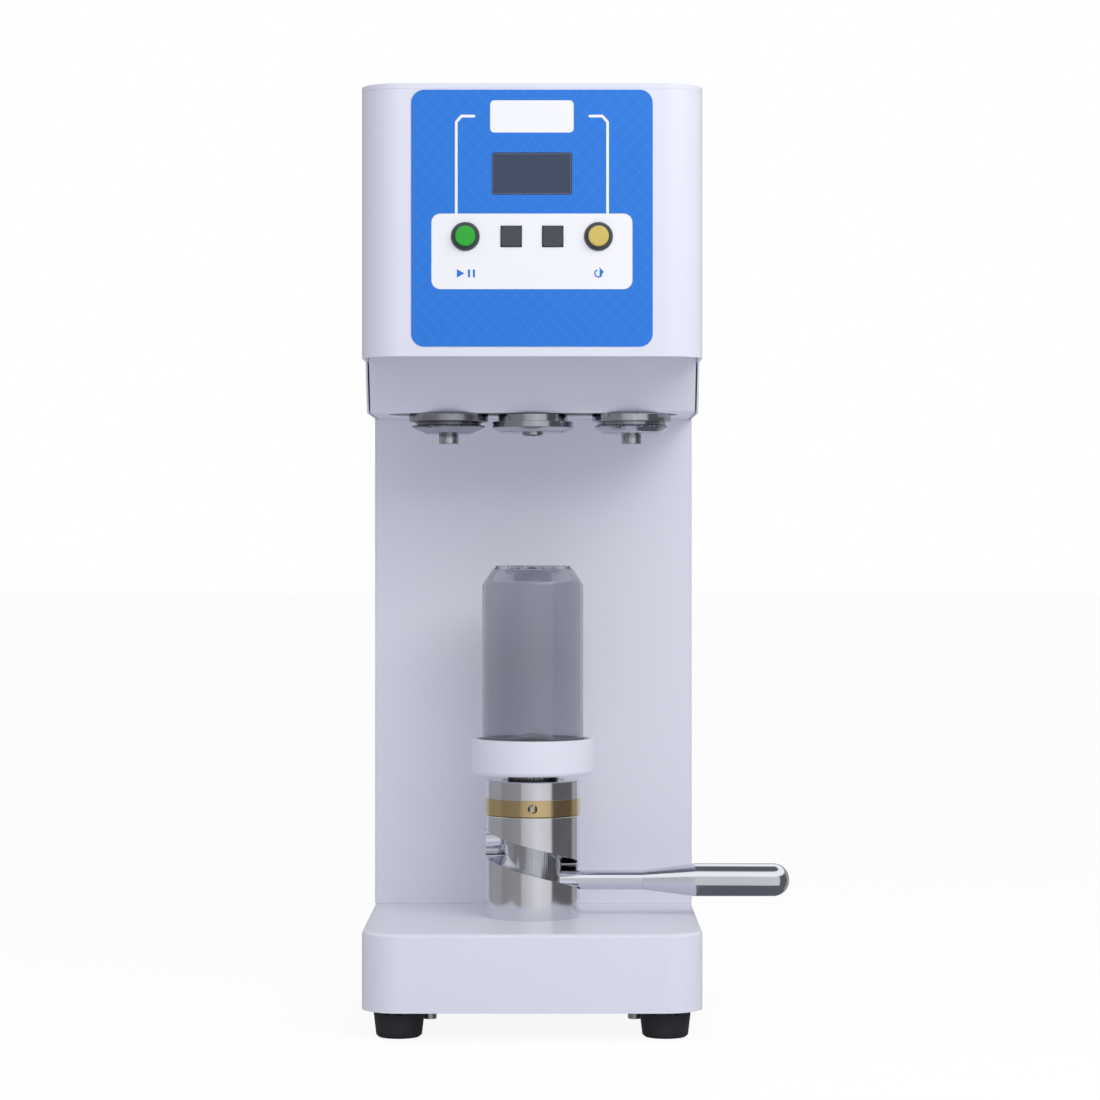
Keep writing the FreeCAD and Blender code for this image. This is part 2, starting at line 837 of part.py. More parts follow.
def throat_tray():
    """Folded sheet under the head: flat floor, sloped chin and two upright flanges."""
    body = new_body("throat_tray")
    wall = s["throat_tray_wall"]
    half = panel_inner - s["panel_gap"]
    top = plate_bottom - throat_top
    low, high = -s["chin_reach_bottom"], -s["chin_reach_top"]
    outline = Drawing(body, "YZ")
    outline.polygon([(low, 0), (column_inner, 0), (column_inner, top), (high, top)])
    outline.pad(2 * half, midplane=True)

    def bend(edge):
        box = edge.BoundBox
        return near(box.YMin, low) and near(box.YMax, low) and near(box.ZMax, 0)
    round_edges(body, s["chin_bend_round"], bend)
    slope = root(top * top + (high - low) * (high - low))
    chin_shift = wall * slope / top
    floor_shift = chin_shift - (low - high) * wall / top
    inside = Drawing(body, "YZ")
    inside.polygon([
        (low + floor_shift, wall), (column_inner + 1, wall), (column_inner + 1, top + 1),
        (high + chin_shift - (low - high) / top, top + 1),
    ])
    inside.pocket(2 * (half - wall), midplane=True)
    slot = Drawing(body)
    slot_half = half - s["throat_slot_end_margin"]
    slot.rectangle(-slot_half, slot_half, -s["throat_slot_front"], s["throat_slot_back"])
    slot.pocket(wall * 2, against=True)

    def slot_corner(edge):
        box = edge.BoundBox
        at_end = near(abs(box.XMin), slot_half) and box.XLength < 1e-4
        return at_end and box.YLength < 1e-4 and near(box.ZLength, wall)
    slot_round = (s["throat_slot_front"] + s["throat_slot_back"]) / 2 - 0.5
    round_edges(body, slot_round, slot_corner)
    return body


def mechanism_plate():
    body = new_body("mechanism_plate")
    back = rear_inner - s["seat_gap"]
    corner = s["head_corner"] - s["shell_wall"] - s["seat_gap"]
    thickness = s["mechanism_plate_thickness"]
    plate_outline(Drawing(body), inside_front, back, inside_x).pad(thickness)
    round_edges(body, corner, upright_at((inside_x, inside_front), (-inside_x, inside_front)))
    holes = Drawing(body)
    holes.circle(0, 0, s["spindle_housing_radius"])
    holes.circle(0, s["motor_setback"], s["motor_shaft_radius"] + 3)
    holes.circle(0, s["cam_setback"], s["cam_shaft_radius"] + 1)
    for side in (-1, 1):
        holes.circle(side * s["arm_pivot_spread"], s["arm_pivot_setback"], s["pivot_radius"])
    holes.pocket(against=True)
    return body


def head_cover():
    """Hood with rounded front corners and button and window openings, open at the back."""
    body = new_body("head_cover")
    wall = s["shell_wall"]
    x_inner, y_inner = half_width - wall, front + wall
    Drawing(body).polygon([
        (-half_width, front), (half_width, front), (half_width, rear_inner),
        (x_inner, rear_inner), (x_inner, y_inner), (-x_inner, y_inner),
        (-x_inner, rear_inner), (-half_width, rear_inner),
    ]).pad(s["head_cover_height"])
    inner = s["head_corner"] - wall
    round_edges(body, inner, upright_at((x_inner, y_inner), (-x_inner, y_inner)))
    round_edges(body, s["head_corner"], upright_at((half_width, front), (-half_width, front)))
    control_openings(body, s["front_reach"])
    return body


def window_corner(edge):
    """Picks the four short edges through a front panel at the window's corners."""
    box = edge.BoundBox
    through = box.XLength < 1e-4 and box.ZLength < 1e-4
    low = s["window_rise"] - s["window_height"] / 2
    high = s["window_rise"] + s["window_height"] / 2
    at_height = near(box.ZMin, low) or near(box.ZMin, high)
    return through and at_height and near(abs(box.XMin), s["window_width"] / 2)


def control_openings(body, depth):
    """Cuts the window, button and key openings through a panel that faces the front."""
    openings = Drawing(body, "XZ")
    window_low = s["window_rise"] - s["window_height"] / 2
    openings.rectangle(-s["window_width"] / 2, s["window_width"] / 2,
                       window_low, window_low + s["window_height"])
    for side in (-1, 1):
        spread = side * s["button_spread"]
        openings.circle(spread, s["button_rise"], s["bezel_barrel_radius"])
        key = side * s["key_spread"]
        half = s["key_width"] / 2 + s["button_gap"]
        openings.rectangle(key - half, key + half,
                           s["button_rise"] - half, s["button_rise"] + half)
    openings.pocket(depth + 2, against=True)
    round_edges(body, s["window_corner"], window_corner)


def top_cover():
    body = new_body("top_cover")
    plate_outline(Drawing(body), front, rear, half_width).pad(s["top_cover_thickness"])
    round_edges(body, s["head_corner"], upright_at((half_width, front), (-half_width, front)))
    return body


def rear_screw_spots():
    inset = s["rear_screw_inset"]
    x = half_width - inset
    low, high = inset, cover_top - base_top - inset
    return [(side * x, z) for side in (-1, 1) for z in (low, (low + high) / 2, high)]


def rear_cover():
    body = new_body("rear_cover")
    outline = Drawing(body, "XZ")
    outline.rectangle(-half_width, half_width, 0, cover_top - base_top)
    outline.pad(s["rear_wall"])
    vents = Drawing(body, "XZ")
    for row in range(VENT_COUNT):
        z = s["vent_rise"] + row * s["vent_pitch"]
        vents.rectangle(-s["vent_width"] / 2, s["vent_width"] / 2, z, z + s["vent_height"])
    half_w, half_h = s["inlet_width"] / 2 - 3, s["inlet_height"] / 2 - 3
    vents.rectangle(-half_w, half_w, s["inlet_rise"] - half_h, s["inlet_rise"] + half_h)
    vents.pocket(against=True)
    return body


def rear_cover_screws():
    """Flat heads with bevelled rims on the rear cover."""
    head, radius = s["rear_screw_head"], s["rear_screw_radius"]
    screw = new_body("rear_screw")
    Drawing(screw, "XZ").circle(0, 0, radius).pad(head, against=True)

    def outer_edge(edge):
        return near(edge.BoundBox.YMin, head) and near(edge.BoundBox.YMax, head)
    round_edges(screw, head * 0.5, outer_edge, "Chamfer")
    return group("rear_cover_screws", screw, [(x, 0, z) for x, z in rear_screw_spots()])


# ---- control panel ------------------------------------------------------------------------------

def control_overlay():
    body = new_body("control_overlay")
    Drawing(body, "XZ").rectangle(
        -s["overlay_half_width"], s["overlay_half_width"], s["overlay_bottom"],
        s["overlay_top"]).pad(s["overlay_thickness"])
    round_edges(body, s["overlay_corner"], along("y"))
    control_openings(body, s["front_reach"])
    return body


def display_window():
    body = new_body("display_window")
    half_w = s["window_width"] / 2 - 0.1
    half_h = s["window_height"] / 2 - 0.1
    Drawing(body, "XZ").rectangle(-half_w, half_w, -half_h, half_h).pad(s["window_thickness"])
    round_edges(body, s["window_corner"], along("y"))
    return body


def display_module():
    body = new_body("display_module")
    half_w, half_h = s["window_width"] / 2 + 4, s["window_height"] / 2 + 4
    outline = Drawing(body, "XZ")
    outline.rectangle(-half_w, half_w, -half_h, half_h)
    outline.pad(s["display_thickness"], against=True)
    return body


def control_board():
    """Board behind the buttons, with its posts and the four switches soldered to it."""
    body = new_body("control_board")
    half_w = s["button_spread"] + s["board_side_margin"]
    low = s["button_rise"] - s["board_height"] * 0.3
    high = low + s["board_height"]
    thickness = s["board_thickness"]
    Drawing(body, "XZ").rectangle(-half_w, half_w, low, high).pad(thickness, against=True)
    posts = Drawing(body, "XZ")
    inset = s["post_inset"]
    for x in (-half_w + inset, half_w - inset):
        for z in (low + inset, high - inset):
            posts.circle(x, z, s["post_radius"])
    posts.pad(s["board_setback"] - s["shell_wall"])
    switches = Drawing(body, "XZ")
    half = s["switch_width"] / 2
    for spread in (s["button_spread"], s["key_spread"]):
        for side in (-1, 1):
            x = side * spread
            switches.rectangle(x - half, x + half,
                               s["button_rise"] - half, s["button_rise"] + half)
    switches.pad(2.4)
    return body


def button_bezel(label, side):
    """Flanged ring that guides a round button."""
    body = new_body(label)
    Drawing(body, "XZ").circle(0, 0, s["bezel_radius"]).pad(s["bezel_proud"])

    def front_ring(edge):
        return near(edge.BoundBox.YMax, -s["bezel_proud"])
    round_edges(body, s["bezel_proud"] * 0.5, front_ring, "Chamfer")
    barrel = s["shell_wall"] + s["overlay_thickness"] + 1
    Drawing(body, "XZ").circle(0, 0, s["bezel_barrel_radius"]).pad(barrel, against=True)
    hole = Drawing(body, "XZ")
    hole.circle(0, 0, s["button_radius"] + s["button_gap"])
    hole.pocket(barrel * 4, midplane=True)
    surface = front - s["overlay_thickness"]
    return place(body, side * s["button_spread"], surface, hood_bottom + s["button_rise"])


def round_button(label, side):
    body = new_body(label)
    Drawing(body, "XZ").circle(0, 0, s["button_radius"]).pad(s["button_proud"])

    def front_ring(edge):
        return near(edge.BoundBox.YMax, -s["button_proud"])
    round_edges(body, s["button_edge_bevel"], front_ring, "Chamfer")
    depth = s["board_setback"] + s["overlay_thickness"] - 2.4 - s["button_travel"] - 0.4
    Drawing(body, "XZ").circle(0, 0, s["button_radius"]).pad(depth, against=True)
    surface = front - s["overlay_thickness"]
    return place(body, side * s["button_spread"], surface, hood_bottom + s["button_rise"])


def square_key(label, side):
    body = new_body(label)
    half = s["key_width"] / 2
    Drawing(body, "XZ").rectangle(-half, half, -half, half).pad(s["key_proud"])
    depth = s["board_setback"] + s["overlay_thickness"] - 2.4 - s["button_travel"] - 0.4
    Drawing(body, "XZ").rectangle(-half, half, -half, half).pad(depth, against=True)
    round_edges(body, s["key_corner"], along("y"))
    surface = front - s["overlay_thickness"]
    return place(body, side * s["key_spread"], surface, hood_bottom + s["button_rise"])


# ---- rear inlet --------------------------------------------------------------------------------------

def power_inlet():
    """Mains inlet with its socket below and the opening of the rocker switch above."""
    body = new_body("power_inlet")
    half_w, half_h = s["inlet_width"] / 2, s["inlet_height"] / 2
    Drawing(body, "XZ").rectangle(-half_w, half_w, -half_h, half_h).pad(
        s["inlet_flange"], against=True)
    Drawing(body, "XZ").rectangle(
        3.3 - half_w, half_w - 3.3, 3.3 - half_h, half_h - 3.3).pad(s["inlet_depth"])
    socket_w = s["inlet_socket_width"] / 2
    socket_low = -half_h + 6
    socket = Drawing(body, "XZ")
    socket.rectangle(-socket_w, socket_w, socket_low, socket_low + s["inlet_socket_height"])
    socket.pocket(2 * s["inlet_socket_depth"], midplane=True)
    opening = Drawing(body, "XZ")
    rocker_low = half_h - 6 - s["rocker_height"]
    half_r = s["rocker_width"] / 2 + 0.4
    opening.rectangle(-half_r, half_r, rocker_low - 0.4, rocker_low + s["rocker_height"] + 0.4)
    opening.pocket(2 * s["inlet_socket_depth"], midplane=True)
    return body


def power_switch():
    """Rocker with a curved back, tilted about its cross pin."""
    body = new_body("power_switch")
    half_w, half_h = s["rocker_width"] / 2, s["rocker_height"] / 2
    Drawing(body, "YZ").polygon([
        (-4, -half_h + 1), (3.4, -half_h + 0.4), (1.6, 0), (3.4, half_h - 0.4),
        (-4, half_h - 1),
    ]).pad(2 * half_w, midplane=True)
    return body


# ---- spindle, chuck and drive ---------------------------------------------------------------------------

def spindle_housing():
    """Flanged sleeve under the mechanism plate with a bearing seat at each end."""
    outer, flange = s["spindle_housing_radius"], s["spindle_flange_radius"]
    depth, plate = s["spindle_housing_depth"], s["mechanism_plate_thickness"]
    seat, width = s["bearing_race_radius"], s["bearing_width"]
    waist = seat - 2.5
    foot = -s["spindle_flange_height"]
    return turned("spindle_housing", [
        (seat, -depth), (outer - 1, -depth), (outer - 1, foot), (flange, foot), (flange, 0),
        (outer, 0), (outer, plate), (seat, plate), (seat, plate - width),
        (waist, plate - width), (waist, width - depth), (seat, width - depth),
    ])


def spindle_bearings():
    inner, outer, width = s["spindle_radius"], s["bearing_race_radius"], s["bearing_width"]
    bore = inner + s["running_gap"]
    bearing = turned("spindle_bearing", [
        (bore, 0), (outer - 2.5, 0), (outer - 2.5, 0.6), (outer, 0.6), (outer, width - 0.6),
        (outer - 2.5, width - 0.6), (outer - 2.5, width), (bore, width),
    ])
    low = plate_bottom - s["spindle_housing_depth"]
    high = plate_top - width
    return group("spindle_bearings", bearing, [(0, 0, low), (0, 0, high)])


def spindle():
    """Shaft with a stub for the chuck below and a nut over the pulley above."""
    radius, socket = s["spindle_radius"], s["spindle_stub_length"]
    stub, nut = radius - 3, radius + 4
    pulley_top = plate_top + s["pulley_lift"] + s["pulley_width"] - chuck_bottom - chuck_top()
    length = pulley_top + s["spindle_nut_height"]
    return turned("spindle", [
        (0, -socket), (stub, -socket), (stub, 0), (radius, 0), (radius, pulley_top),
        (nut, pulley_top), (nut, length), (0, length),
    ])


def chuck_top():
    """Height of the chuck's neck above its own lower face."""
    hub_top = s["chuck_taper_height"] + s["chuck_flange_height"] + s["chuck_hub_height"]
    return hub_top + s["chuck_neck_height"]


def seaming_chuck():
    """Chuck that fits the can's lid: tapered lip, wide flange, hub and a neck above."""
    lip, flange, hub = s["chuck_lip_radius"], s["chuck_flange_radius"], s["chuck_hub_radius"]
    taper, neck = s["chuck_taper_height"], s["chuck_neck_radius"]
    shoulder = taper + s["chuck_flange_height"]
    hub_top = shoulder + s["chuck_hub_height"]
    top = chuck_top()
    stub, socket = s["spindle_radius"] - 3, s["spindle_stub_length"]
    recess = s["chuck_bolt_radius"] + s["seat_gap"]
    return turned("seaming_chuck", [
        (0, s["chuck_recess"]), (recess, s["chuck_recess"]), (recess, 0),
        (lip, 0), (flange - 2.2, taper), (flange, taper + 1.4), (flange, shoulder),
        (hub, shoulder), (hub, hub_top), (neck, hub_top), (neck, top), (stub, top),
        (stub, top - socket), (0, top - socket),
    ])


def chuck_bolt():
    """Low round head sunk a little into the chuck's lower face."""
    radius, top = s["chuck_bolt_radius"], s["chuck_recess"]
    bottom = top - s["chuck_bolt_head"]
    return turned("chuck_bolt", [
        (0, bottom), (radius - 1, bottom), (radius, bottom + 1), (radius, top), (0, top),
    ])


def pulley(label, radius, bore):
    lip, flange, width = s["pulley_flange_lip"], s["pulley_flange"], s["pulley_width"]
    return turned(label, [
        (bore, 0), (radius + lip, 0), (radius + lip, flange), (radius, flange),
        (radius, width - flange), (radius + lip, width - flange), (radius + lip, width),
        (bore, width),
    ])


def motor_shaft():
    """Motor shaft from the motor's face up through the pulley."""
    top = s["mechanism_plate_thickness"] + s["pulley_lift"] + s["pulley_width"] + 3
    radius = s["motor_shaft_radius"]
    bottom = -s["motor_shaft_depth"]
    return turned("motor_shaft", [(0, bottom), (radius, bottom), (radius, top), (0, top)])


def drive_motor():
    """Square-framed motor hung under the mechanism plate; its stator is slimmer than its caps."""
    body = new_body("drive_motor")
    half, length = s["motor_width"] / 2, s["motor_length"]
    Drawing(body).rectangle(-half, half, -half, half).pad(length, against=True)
    round_edges(body, s["motor_corner"], along("z"))
    inner, outer = half - s["motor_cap_step"], half + 1
    low, high = s["motor_cap_height"] - length, -s["motor_cap_height"]
    for plane in ("XZ", "YZ"):
        waist = Drawing(body, plane)
        waist.rectangle(inner, outer, low, high)
        waist.rectangle(-outer, -inner, low, high)
        waist.pocket(s["motor_width"] * 2, midplane=True)
    bore = Drawing(body)
    bore.circle(0, 0, s["motor_shaft_radius"] + s["running_gap"])
    bore.pocket(s["motor_shaft_depth"] + 2)
    return body


def drive_belt():
    """Belt with straight runs between the two pulleys, clear of both by a small gap."""
    big = s["spindle_pulley_radius"].number + s["belt_gap"].number
    small = s["motor_pulley_radius"].number + s["belt_gap"].number
    span = s["motor_setback"].number
    width = (s["pulley_width"] - 2 * s["pulley_flange"]).number - 1
    thickness = s["belt_thickness"].number

    def loop(extra):
        wide, narrow = big + extra, small + extra
        lean = math.asin((wide - narrow) / span)
        x_wide, y_wide = wide * math.cos(lean), wide * math.sin(lean)
        x_narrow, y_narrow = narrow * math.cos(lean), narrow * math.sin(lean)
        spot = FreeCAD.Vector
        edges = [
            Part.makeLine(spot(x_wide, y_wide, 0), spot(x_narrow, span + y_narrow, 0)),
            Part.Arc(spot(x_narrow, span + y_narrow, 0), spot(0, span + narrow, 0),
                     spot(-x_narrow, span + y_narrow, 0)).toShape(),
            Part.makeLine(spot(-x_narrow, span + y_narrow, 0), spot(-x_wide, y_wide, 0)),
            Part.Arc(spot(-x_wide, y_wide, 0), spot(0, -wide, 0),
                     spot(x_wide, y_wide, 0)).toShape(),
        ]
        return Part.Face(Part.Wire(edges))

    ring = loop(thickness).cut(loop(0))
    belt = doc.addObject("Part::Feature", "drive_belt")
    belt.Shape = ring.extrude(FreeCAD.Vector(0, 0, width))
    return belt


# ---- seaming arms, rollers and cam -------------------------------------------------------------------------

def arm_point(side, x, y):
    """A point of an arm's own drawing, as x and y from the seaming axis at rest."""
    turn = s["first_arm_angle"] if side < 0 else s["second_arm_angle"]
    own_x = x if side < 0 else -x
    turned_x = own_x * cosine(turn) - y * sine(turn)
    turned_y = own_x * sine(turn) + y * cosine(turn)
    return side * s["arm_pivot_spread"] + turned_x, s["arm_pivot_setback"] + turned_y


def seaming_arm(label, side):
    """Bell crank: pivot boss, roller boss in front and a tail that the cam pushes."""
    body = new_body(label)
    reach, thick, web = s["arm_length"], s["arm_thickness"], s["arm_web_width"] / 2
    tail_x, tail_y = s["arm_tail_x"] * -side, s["arm_tail_y"]
    tail_length = root(tail_x * tail_x + tail_y * tail_y)
    across_x, across_y = tail_y / tail_length * web, -tail_x / tail_length * web
    Drawing(body).circle(0, 0, s["arm_pivot_boss"]).pad(thick)
    Drawing(body).circle(0, -reach, s["arm_roller_boss"]).pad(thick)
    Drawing(body).circle(tail_x, tail_y, s["arm_tail_boss"]).pad(thick)
    Drawing(body).rectangle(-web, web, -reach, 0).pad(thick)
    Drawing(body).polygon([
        (across_x, across_y), (tail_x + across_x, tail_y + across_y),
        (tail_x - across_x, tail_y - across_y), (-across_x, -across_y),
    ]).pad(thick)
    holes = Drawing(body)
    holes.circle(0, 0, s["pivot_radius"] + s["running_gap"])
    holes.circle(0, -reach, s["axle_radius"])
    holes.pocket(against=True)
    turn = s["first_arm_angle"] if side < 0 else s["second_arm_angle"]
    x, y = side * s["arm_pivot_spread"], s["arm_pivot_setback"]
    return place(body, x, y, arm_bottom, turn)


def arm_pivots():
    """Posts that hang from the mechanism plate, with a head under each arm."""
    post, head = s["pivot_radius"], s["pivot_head_radius"]
    low = arm_bottom - 0.2 - throat_top
    high = plate_top - throat_top
    pivot = turned("arm_pivot", [
        (0, low - s["pivot_head_height"]), (head, low - s["pivot_head_height"]), (head, low),
        (post, low), (post, high), (0, high),
    ])
    spots = [(side * s["arm_pivot_spread"], s["arm_pivot_setback"], 0) for side in (-1, 1)]
    return group("arm_pivots", pivot, spots)


def roller_bottom():
    return throat_top - s["roller_height"]


def roller_axle(label, side):
    """Pin through the arm with a wide lower end that holds the roller up."""
    pin, shaft = s["axle_pin_radius"], s["axle_radius"]
    foot = s["axle_pin_length"]
    hub = arm_bottom + s["arm_thickness"] - roller_bottom() + foot
    body = turned(label, [
        (0, 0), (pin - 0.5, 0), (pin, 0.5), (pin, foot - 0.3), (shaft, foot - 0.3),
        (shaft, hub + 3), (0, hub + 3),
    ])
    x, y = arm_point(side, 0, -s["arm_length"])
    return place(body, x, y, roller_bottom() - foot)


def seaming_roller(label, side, groove, foot):
    """Roller with a wide top disc and a groove that rolls the rim against the chuck."""
    top, cone = s["roller_top_radius"], s["roller_cone_radius"]
    height = s["roller_height"]
    disc = height - s["roller_top_height"]
    bore = s["axle_radius"] + s["running_gap"]
    hub_top = arm_bottom - 0.3 - roller_bottom()
    body = turned(label, [
        (bore, 0), (foot, 0), (cone, disc - 3.4), (cone, disc - 2.6), (groove, disc - 1.9),
        (groove, disc - 0.9), (cone - 0.4, disc), (top - 0.5, disc), (top, disc + 0.5),
        (top, height - 0.5), (top - 0.5, height), (s["roller_hub_radius"], height),
        (s["roller_hub_radius"], hub_top), (bore, hub_top),
    ])
    x, y = arm_point(side, 0, -s["arm_length"])
    return place(body, x, y, roller_bottom())


def cam_follower(label, side):
    """Roller and pin that carry the cam's push into the arm's tail."""
    body = new_body(label)
    Drawing(body).circle(0, 0, s["follower_radius"]).pad(s["cam_thickness"] - 1)
    Drawing(body).circle(0, 0, s["follower_pin_radius"]).pad(s["cam_thickness"] + 0.5)
    x, y = arm_point(side, s["arm_tail_x"], s["arm_tail_y"])
    return place(body, x, y, arm_bottom + s["arm_thickness"])


def cam_track():
    """Points of one flank: where the cam must lie so that the follower swings evenly.

    The cam turns by a fixed number of degrees for each degree of the arm, and the flank is
    the inner side of the follower's path as seen from the turning cam.
    """
    def follower_on_cam(turn):
        arm = s["first_arm_angle"].number - turn / s["cam_to_arm_angle_ratio"].number
        lean = math.radians(arm)
        x, y = s["arm_tail_x"].number, s["arm_tail_y"].number
        at_x = -s["arm_pivot_spread"].number + x * math.cos(lean) - y * math.sin(lean)
        at_y = s["arm_pivot_setback"].number + x * math.sin(lean) + y * math.cos(lean)
        at_y -= s["cam_setback"].number
        back = math.radians(-turn)
        return FreeCAD.Vector(at_x * math.cos(back) - at_y * math.sin(back),
                              at_x * math.sin(back) + at_y * math.cos(back), 0)

    points, steps = [], 12
    first, last = -s["cam_backward_turn"].number, s["cam_forward_turn"].number
    for step in range(steps + 1):
        turn = first + (last - first) * step / steps
        spot = follower_on_cam(turn)
        ahead = follower_on_cam(turn + 0.5) - follower_on_cam(turn - 0.5)
        outward = FreeCAD.Vector(ahead.y, -ahead.x, 0).normalize()
        if outward.dot(spot) < 0:
            outward = -outward
        points.append(spot - outward * (s["follower_radius"].number + s["cam_gap"].number))
    return points


def seaming_cam():
    """Plate cam with one lobe: it presses the first arm in and then the second."""
    flank = cam_track()
    rest_difference = s["first_arm_angle"].number + s["second_arm_angle"].number
    lobe = math.radians(-90 - rest_difference * s["cam_to_arm_angle_ratio"].number / 2)
    axis = FreeCAD.Vector(math.cos(lobe), math.sin(lobe), 0)
    mirrored = [axis * (2 * axis.dot(spot)) - spot for spot in flank]
    curve = Part.BSplineCurve()
    curve.interpolate(flank + mirrored[::-1], PeriodicFlag=True)
    face = Part.Face(Part.Wire([curve.toShape()]))
    thick = s["cam_thickness"].number
    plate = face.extrude(FreeCAD.Vector(0, 0, thick))
    shaft_top = (plate_top - arm_bottom - s["arm_thickness"]).number + 2
    hub = Part.makeCylinder(s["cam_hub_radius"].number, thick + 2)
    shaft = Part.makeCylinder(s["cam_shaft_radius"].number, shaft_top)
    cam = doc.addObject("Part::Feature", "seaming_cam")
    cam.Shape = plate.fuse([hub, shaft]).removeSplitter()
    return cam


def cam_gearmotor():
    body = new_body("cam_gearmotor")
    Drawing(body).circle(0, 0, s["cam_motor_radius"]).pad(s["cam_motor_height"])
    bore = Drawing(body)
    bore.circle(0, 0, s["cam_shaft_radius"] + s["running_gap"])
    bore.pocket(4, against=True)
    return body


# ---- assembly ------------------------------------------------------------------------------------------------

def build_base():
    keep(place(rubber_feet()))
    keep(place(base_plate(), z=s["foot_height"]))
    keep(place(base_cover(), z=s["foot_height"]))
    keep(place(base_screws(), z=s["foot_height"]))
    keep(place(barrel_pedestal(), z=base_floor))
    keep(place(barrel_bolts(), z=s["foot_height"]))
    keep(place(lift_barrel(), z=base_top, turn=s["slot_start_angle"]))


def build_lift():
    keep(place(plunger(), z=base_top + s["plunger_floor_gap"]))
    keep(place(lock_ring(), z=ring_bottom))
    keep(ring_set_screw())
    keep(place(lift_collar(), z=ring_top))
    keep(place(thrust_bearing(), z=neck_bottom - 0.1 - s["bearing_thickness"]))
    keep(place(turntable_shaft(), z=neck_bottom))
    keep(place(can_holder(), z=holder_bottom))
    keep(place(can(), z=can_bottom))
    keep(place(lever_rod(), z=lever_z))
    keep(place(lever_grip(), z=lever_z))


def build_housing():
    keep(place(column_front(), z=base_top))
    keep(side_panel("side_panel_left", -1))
    keep(side_panel("side_panel_right", 1))
    keep(place(frame_plates(), z=base_floor))
    keep(place(throat_tray(), z=throat_top))
    keep(place(mechanism_plate(), z=plate_bottom))
    keep(place(head_cover(), z=hood_bottom))
    keep(place(top_cover(), z=cover_top))
    keep(place(rear_cover(), y=rear, z=base_top))
    keep(place(rear_cover_screws(), y=rear, z=base_top))


def build_controls():
    keep(place(control_overlay(), y=front, z=hood_bottom))
    window_z = hood_bottom + s["window_rise"]
    window_y = front + s["window_recess"] - s["overlay_thickness"] + s["window_thickness"]
    keep(place(display_window(), y=window_y, z=window_z))
    keep(place(display_module(), y=front + s["shell_wall"], z=window_z))
    keep(place(control_board(), y=front + s["board_setback"], z=hood_bottom))
    for name, side in (("start", -1), ("stop", 1)):
        keep(round_button(f"{name}_button", side))
        keep(button_bezel(f"{name}_bezel", side))
    keep(square_key("mode_key", -1))
    keep(square_key("count_key", 1))
    inlet_z = base_top + s["inlet_rise"]
    keep(place(power_inlet(), y=rear, z=inlet_z))
    rocker_z = inlet_z + s["inlet_height"] / 2 - 6 - s["rocker_height"] / 2
    rocker_y = rear + s["inlet_flange"] - 1
    keep(place(power_switch(), y=rocker_y, z=rocker_z, turn=s["rocker_tilt"],
               about=(1, 0, 0)))


def build_drive():
    pulley_z = plate_top + s["pulley_lift"]
    belt_z = pulley_z + s["pulley_flange"] + 0.5
    motor_y = s["motor_setback"]
    keep(place(spindle_housing(), z=plate_bottom))
    keep(place(spindle_bearings()))
    keep(place(spindle(), z=chuck_bottom + chuck_top()))
    keep(place(seaming_chuck(), z=chuck_bottom))
    keep(place(chuck_bolt(), z=chuck_bottom))
    keep(place(pulley("spindle_pulley", s["spindle_pulley_radius"], s["spindle_radius"]),
               z=pulley_z))
    keep(place(pulley("motor_pulley", s["motor_pulley_radius"], s["motor_shaft_radius"]),
               y=motor_y, z=pulley_z))
    keep(place(drive_belt(), z=belt_z))
    keep(place(motor_shaft(), y=motor_y, z=plate_bottom))
    keep(place(drive_motor(), y=motor_y, z=plate_bottom))


def build_seaming_head():
    keep(place(arm_pivots(), z=throat_top))
    for name, side in (("first", -1), ("second", 1)):
        keep(seaming_arm(f"{name}_arm", side))
        keep(roller_axle(f"{name}_axle", side))
        keep(seaming_roller(f"{name}_roller", side, s[f"{name}_groove_radius"],
                            s[f"{name}_roller_foot_radius"]))
        keep(cam_follower(f"{name}_follower", side))
    cam_z = arm_bottom + s["arm_thickness"]
    keep(place(seaming_cam(), y=s["cam_setback"], z=cam_z))
    keep(place(cam_gearmotor(), y=s["cam_setback"], z=plate_top))


def check_document():
    """Stops when any object failed to recompute or any sub-part has a bad shape."""
    failed = []
    for thing in doc.Objects:
        if "Invalid" in thing.State or "Error" in thing.State:
            owners = [other.Label for other in thing.InList]
            failed.append(f"{thing.Label} in {owners}")
    if failed:
        raise RuntimeError("failed to recompute: " + "; ".join(failed))
    for piece in SUBPARTS:
        if piece.Shape.isNull() or not piece.Shape.isValid() or not piece.Shape.Solids:
            raise RuntimeError(f"{piece.Label} has a bad shape")


def export_parts():
    os.makedirs("parts", exist_ok=True)
    for piece in SUBPARTS:
        piece.Shape.exportStep(f"parts/{piece.Label}.step")


build_base()
build_lift()
build_housing()
build_controls()
build_drive()
build_seaming_head()
doc.recompute()
check_document()
export_parts()
print(f"{len(SUBPARTS)} sub-parts")
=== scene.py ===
import math

